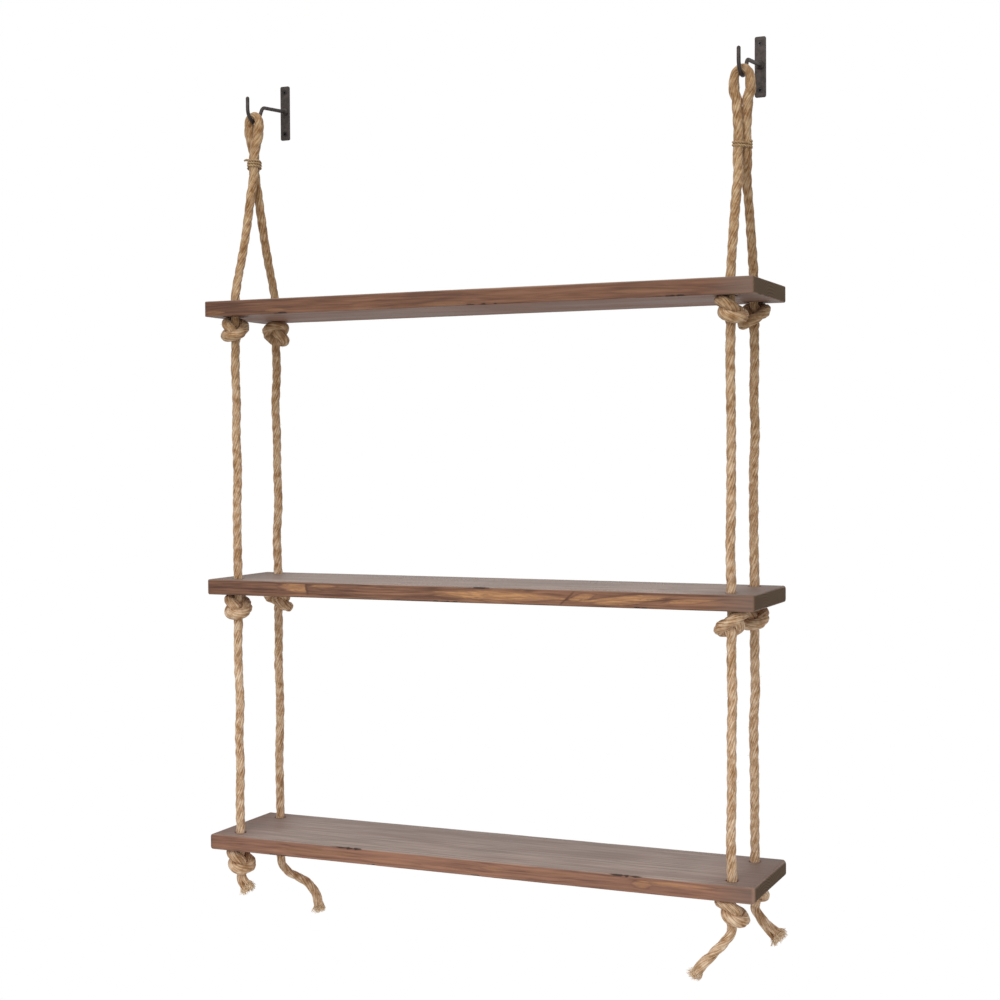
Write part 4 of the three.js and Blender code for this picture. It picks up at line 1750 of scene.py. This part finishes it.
@dataclass(frozen=True)
class Hook:
    """A forged hook: a flat strip, the bent rod on it, and the two screws that hold it."""

    side: Side
    iron: Material
    steel: Material
    reach: float
    screw_from_end: float = 8 * MM
    screw_radius: float = 2 * MM
    screw_play: float = 0.35 * MM
    sink_radius: float = 3.8 * MM
    sink_depth: float = 1.8 * MM
    overrun: float = 1 * MM
    recess: float = 2.3 * MM
    recess_width_share: float = 0.42
    rod_rise: float = 2 * MM
    rod_sides: int = 18
    rod_step: float = 0.8 * MM
    rod_wave: float = 7 * MM
    rod_unevenness: float = 0.03
    collar_lump: float = 0.22
    collar_roughness: float = 0.2
    seat_radius: float = 14.5 * MM
    hump_radius: float = 9.5 * MM
    hump_drop: float = 2 * MM
    tip_rise: float = 5.5 * MM
    collar_radius: float = 5.2 * MM
    collar_run: float = 2.2 * MM
    throat_slant: float = math.radians(30)
    arc_steps: int = 14

    def build(self) -> None:
        """Make the strip, the rod and the screws."""
        stem = f"{self.side.value}_hook"
        low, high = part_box(f"{stem}_plate")
        plate, rod = self._plate(f"forged_{stem}_plate", low, high), self._rod(stem, high.y - low.y)
        screws = self._screws(f"{stem}_screws", low, high)
        for piece in (plate, rod, screws):
            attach(piece, "wall_hooks")
        settled(plate, "wrought_iron", f"{stem}_plate")
        settled(rod, "wrought_iron", f"{stem}_rod")
        settled(screws, "wrought_iron")

    def _plate(self, name: str, low: Vector, high: Vector) -> Object:
        """Forge the strip, its back on the wall.

        Args:
            name: The piece's name.
            low: Lowest corner of its box.
            high: Highest corner.

        Returns:
            The piece.
        """
        size = high - low
        bar = WornBar(size.zxy, arris=0.8 * MM, wander=0.3 * MM, end_round=0.9 * MM,
                      corner_round=2.2 * MM, unevenness=0.55 * MM, spacing=1.2 * MM,
                      seed=HOOK_SEEDS[self.side], broad_shares=(0.1, 0.3, 0.5, 0.7, 0.9))
        half, slope = size.y / 2, (self.sink_radius - self.screw_radius) / self.sink_depth
        drill = revolved("countersink_drill", [
            (self.sink_radius + slope * self.overrun, half + self.overrun),
            (self.screw_radius, half - self.sink_depth),
            (self.screw_radius, -half - self.overrun),
        ], sides=32)
        reach = size.z / 2 - self.screw_from_end
        mesh = drilled(bar.mesh(name), drill,
                       [Matrix.Translation((end * reach, 0, 0)) for end in (-1, 1)])
        upright = Matrix(((0, 1, 0, 0), (0, 0, -1, 0), (-1, 0, 0, 0), (0, 0, 0, 1)))
        mesh.transform(Matrix.Translation((low + high) / 2) @ upright)
        return dressed(name, mesh, self.iron, 35)

    def _screws(self, name: str, low: Vector, high: Vector) -> Object:
        """Drive a cross-headed screw into each hole, cut off at the wall.

        Args:
            name: The piece's name.
            low: Lowest corner of the strip's box.
            high: Highest corner.

        Returns:
            The piece.
        """
        thickness, shank = high.y - low.y, self.screw_radius - self.screw_play
        head = revolved("screw_head", [
            (self.sink_radius - self.screw_play, thickness - self.screw_play),
            (shank, thickness - self.sink_depth), (shank, 0.0),
        ], sides=32)
        wedge = revolved("cross_recess", [
            (self.recess * 1.2, thickness + self.screw_play),
            (self.recess * 0.5, thickness - self.recess),
        ], sides=4)
        blade = Matrix.Diagonal((1, self.recess_width_share, 1, 1))
        blades = [blade, Matrix.Rotation(math.pi / 2, 4, "Z") @ blade]
        centre = (low + high) / 2
        work = bmesh.new()
        for end, turn in zip((-1, 1), SCREW_TURNS[self.side]):
            screw = drilled(head.copy(), wedge, blades)
            z = centre.z + end * ((high.z - low.z) / 2 - self.screw_from_end)
            screw.transform(Matrix.Translation((centre.x, high.y, z))
                            @ Matrix.Rotation(math.pi / 2, 4, "X") @ Matrix.Rotation(turn, 4, "Z"))
            work.from_mesh(screw)
        mesh = bpy.data.meshes.new(name)
        work.to_mesh(mesh)
        work.free()
        return dressed(name, mesh, self.steel, 30)

    def _arc(self, centre: Vector, radius: float, start: float, end: float) -> list[Vector]:
        """List points of an arc of the rod's line.

        Args:
            centre: The arc's centre.
            radius: Its radius.
            start: Angle where it starts.
            end: Angle where it ends.

        Returns:
            The points.
        """
        angles = [start + (end - start) * i / self.arc_steps for i in range(self.arc_steps + 1)]
        return [centre + radius * Vector((math.cos(a), math.sin(a))) for a in angles]

    def _bend(self, plate_thickness: float) -> list[Vector]:
        """List points on the rod's centre line, as distance from the wall and height.

        Args:
            plate_thickness: Where the rod starts.

        Returns:
            The points.
        """
        seat = Vector((self.reach, self.seat_radius - SEAT_DROP))
        hump_height = -self.hump_drop - self.hump_radius
        cosine, sine = math.cos(self.throat_slant), math.sin(self.throat_slant)
        both = self.seat_radius + self.hump_radius
        throat = (hump_height - seat.y + both * sine) / cosine
        hump = Vector((seat.x - both * cosine - throat * sine, hump_height))
        root = Vector((plate_thickness, self.rod_rise))
        to_hump = hump - root
        heading = math.atan2(to_hump.y, to_hump.x) + math.asin(self.hump_radius / to_hump.length)
        over_hump = self._arc(hump, self.hump_radius, heading + math.pi / 2, self.throat_slant)
        under_seat = self._arc(seat, self.seat_radius, math.pi + self.throat_slant, FULL_TURN)
        tip = Vector((seat.x + self.seat_radius, self.tip_rise))
        arm = [root.lerp(over_hump[0], i / 6) for i in range(6)]
        return arm + over_hump + under_seat + [under_seat[-1].lerp(tip, 0.5), tip]

    def _rod(self, stem: str, plate_thickness: float) -> Object:
        """Forge the rod: thick and rough where it is welded on, round at its tip.

        Args:
            stem: What the hook's nodes are named for.
            plate_thickness: Where it starts.

        Returns:
            The piece.
        """
        low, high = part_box(f"{stem}_rod")
        x = (low.x + high.x) / 2
        bend = [Station(Vector((x, -p.x, p.y))) for p in self._bend(plate_thickness)]
        line, usual = Line(bend, self.rod_step), ROD_DIAMETER / 2
        rings = []
        for i, along in enumerate(line.along):
            root = math.exp(-((along / self.collar_run) ** 2))
            lump = 1 + self.collar_lump * root * noise.noise(Vector((along / MM, x * 50, 0)))
            radius = usual + (self.collar_radius - usual) * root * lump
            radius *= 1 + self.rod_unevenness * noise.noise(
                Vector((along / self.rod_wave, x * 9, 5)))
            left = line.along[-1] - along
            if left < usual:
                radius *= math.sqrt(max(0.04, 1 - (1 - left / usual) ** 2))
            ring = []
            for k in range(self.rod_sides):
                angle = FULL_TURN * k / self.rod_sides
                bump = noise.noise(Vector((math.cos(angle), math.sin(angle), i)))
                rough = 1 + self.collar_roughness * root * bump
                ring.append(line.at(i, angle, radius * rough))
            rings.append(ring)
        name = f"forged_{stem}_rod"
        return dressed(name, lofted(name, rings[::-1]), self.iron)


@dataclass(frozen=True)
class Lamp:
    """A soft round lamp: where it hangs, its width and its power in watts."""

    name: str
    place: Vector
    size: float
    power: float

    def hang(self, target: Vector) -> None:
        """Hang the lamp.

        Args:
            target: The point that it is turned to.
        """
        light = bpy.data.lights.new(self.name, "AREA")
        light.shape, light.size, light.energy = "DISK", self.size, self.power
        lamp = new_object(self.name, light)
        lamp.location = self.place
        lamp.rotation_euler = (target - self.place).to_track_quat("-Z", "Y").to_euler()


@dataclass(frozen=True)
class Studio:
    """The camera at the photograph's angle, soft lamps, a white surround and a pale floor."""

    camera_place: Vector
    azimuth: float
    elevation: float
    roll: float
    focal_pixels: float
    image_pixels: float = 1000.0
    sensor: float = 36.0
    nearest: float = 0.05
    middle: Vector = Vector((0.318, -0.08, -0.5)).freeze()
    lamps: tuple[Lamp, ...] = (Lamp("key_lamp", Vector((0.5, -2.6, 0.5)).freeze(), 1.5, 22.0),
                               Lamp("overhead_lamp", Vector((0.4, -0.9, 1.5)).freeze(), 1.4, 14.0))
    cast_light: float = 0.62
    floor_radius: float = 0.9
    floor_height: float = -1.62
    floor_sides: int = 64

    def build(self) -> None:
        """Set up everything round the object."""
        scene = bpy.context.scene
        scene.view_settings.view_transform = "Standard"
        camera = bpy.data.cameras.new("camera")
        camera.sensor_width = self.sensor
        camera.lens = self.sensor * self.focal_pixels / self.image_pixels
        camera.clip_start = self.nearest
        scene.camera = new_object("camera", camera)
        aim = Euler((math.radians(90 + self.elevation), 0, math.radians(self.azimuth)), "XYZ")
        scene.camera.matrix_world = (
            Matrix.Translation(self.camera_place) @ aim.to_matrix().to_4x4()
            @ Matrix.Rotation(math.radians(self.roll), 4, "Z"))
        for lamp in self.lamps:
            lamp.hang(self.middle)
        self._surround()
        self._floor()

    def _surround(self) -> None:
        """Make the world white to the eye and in reflections, and a softer light elsewhere."""
        world = bpy.data.worlds.new("white_surround")
        bpy.context.scene.world = world
        world.use_nodes = True
        world.node_tree.nodes.clear()
        web = Web(world.node_tree)
        rays = web.add(Kind.RAYS)
        seen = rays.other("Is Camera Ray").by("MAXIMUM", rays.other("Is Glossy Ray"))
        strength = seen * (1.0 - self.cast_light) + self.cast_light
        web.add(Kind.WORLD, web.add(Kind.LIGHT, (1, 1, 1, 1), strength))

    def _floor(self) -> None:
        """Lay a pale floor well below the shelf, out of the camera's view."""
        angles = [FULL_TURN * k / self.floor_sides for k in range(self.floor_sides)]
        corners = [(self.middle.x + self.floor_radius * math.cos(a),
                    self.middle.y + self.floor_radius * math.sin(a), self.floor_height)
                   for a in angles]
        mesh = bpy.data.meshes.new("pale_floor")
        mesh.from_pydata(corners, [], [tuple(range(self.floor_sides))])
        paint = Shading("pale_floor", roughness=0.9)
        paint.set("Base Color", "#f1f0ee")
        mesh.materials.append(paint.material)
        new_object("pale_floor", mesh)


def main() -> None:
    """Build the studio, the ropes, the planks and the hooks, in that order."""
    logging.basicConfig(level=logging.INFO, format="%(name)s %(message)s")
    noise.seed_set(WANDER_SEED)
    Studio(camera_place=Vector((1.1606, -1.9505, -0.4425)), azimuth=23.745, elevation=-1.640,
           roll=-0.344, focal_pixels=1711.5).build()

    fibre = LooseFibre("loose_jute_fibre", "#a98a5f", "#cdb48c").build()
    bunch = Bunch(LooseFibre("frayed_jute_fibre", "#e0b98c", "#fff0d6").build())
    rope = Cordage(
        strands=3, lay=50 * MM, strand_centre=1.3 * MM, strand_radius=4.12 * MM, sides=28, yarns=7,
        yarn_twist=-420.0, yarn_relief=0.2 * MM, step=1.25 * MM, fibres=9000.0,
        fibre_radius=0.06 * MM, fibre_length=2.3 * MM, fibre_finish=fibre,
        rope_finish=LaidJute("three_strand_jute", "#9c7249", "#d0ac88", "#f2d8ba").build())
    twine = Cordage(
        strands=2, lay=7 * MM, strand_centre=0.6 * MM, strand_radius=0.98 * MM, sides=10, yarns=3,
        yarn_twist=-700.0, yarn_relief=0.05 * MM, step=0.5 * MM, fibres=22000.0,
        fibre_radius=0.05 * MM, fibre_length=2.4 * MM, fibre_finish=fibre,
        rope_finish=LaidJute("two_ply_jute_twine", "#b58f68", "#d9b890", "#f2dab8",
                             fibre_width=0.35 * MM, yarns=3.0, yarn_twist=233.0).build())

    boxes = {level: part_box(f"{level.value}_plank") for level in Level}
    faces = {level: high.z for level, (low, high) in boxes.items()}
    low, high = boxes[Level.TOP]
    hook_y = ((low + high) / 2).y
    hook_x = {side: sum(corner.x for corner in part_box(f"{side.value}_hook_rod")) / 2 for side in Side}
    spans = ((hook_x[Side.RIGHT] - hook_x[Side.LEFT]) / 2, HOLE_HALF_SPAN)
    for side in Side:
        Rope(side, rope, bunch, faces, high.z - low.z, hook_x[side], hook_y, spans[1]).build()
        TwineBinding(side, twine, hook_x[side], hook_y).build()

    for level, (stain, chips, seed, end_round) in PLANKS.items():
        Plank(level, stain, chips, seed, end_round, HOLE_RADIUS, spans).build()

    iron = ForgedIron().build()
    steel = ForgedIron("blackened_steel_screw", body="#2b2827", scale="#201e1d", rubbed="#46413f",
                       hammer_mark=9 * MM, relief=0.05 * MM, roughness=0.45).build()
    for side in Side:
        Hook(side, iron, steel, -hook_y).build()


if __name__ == "__main__":
    main()
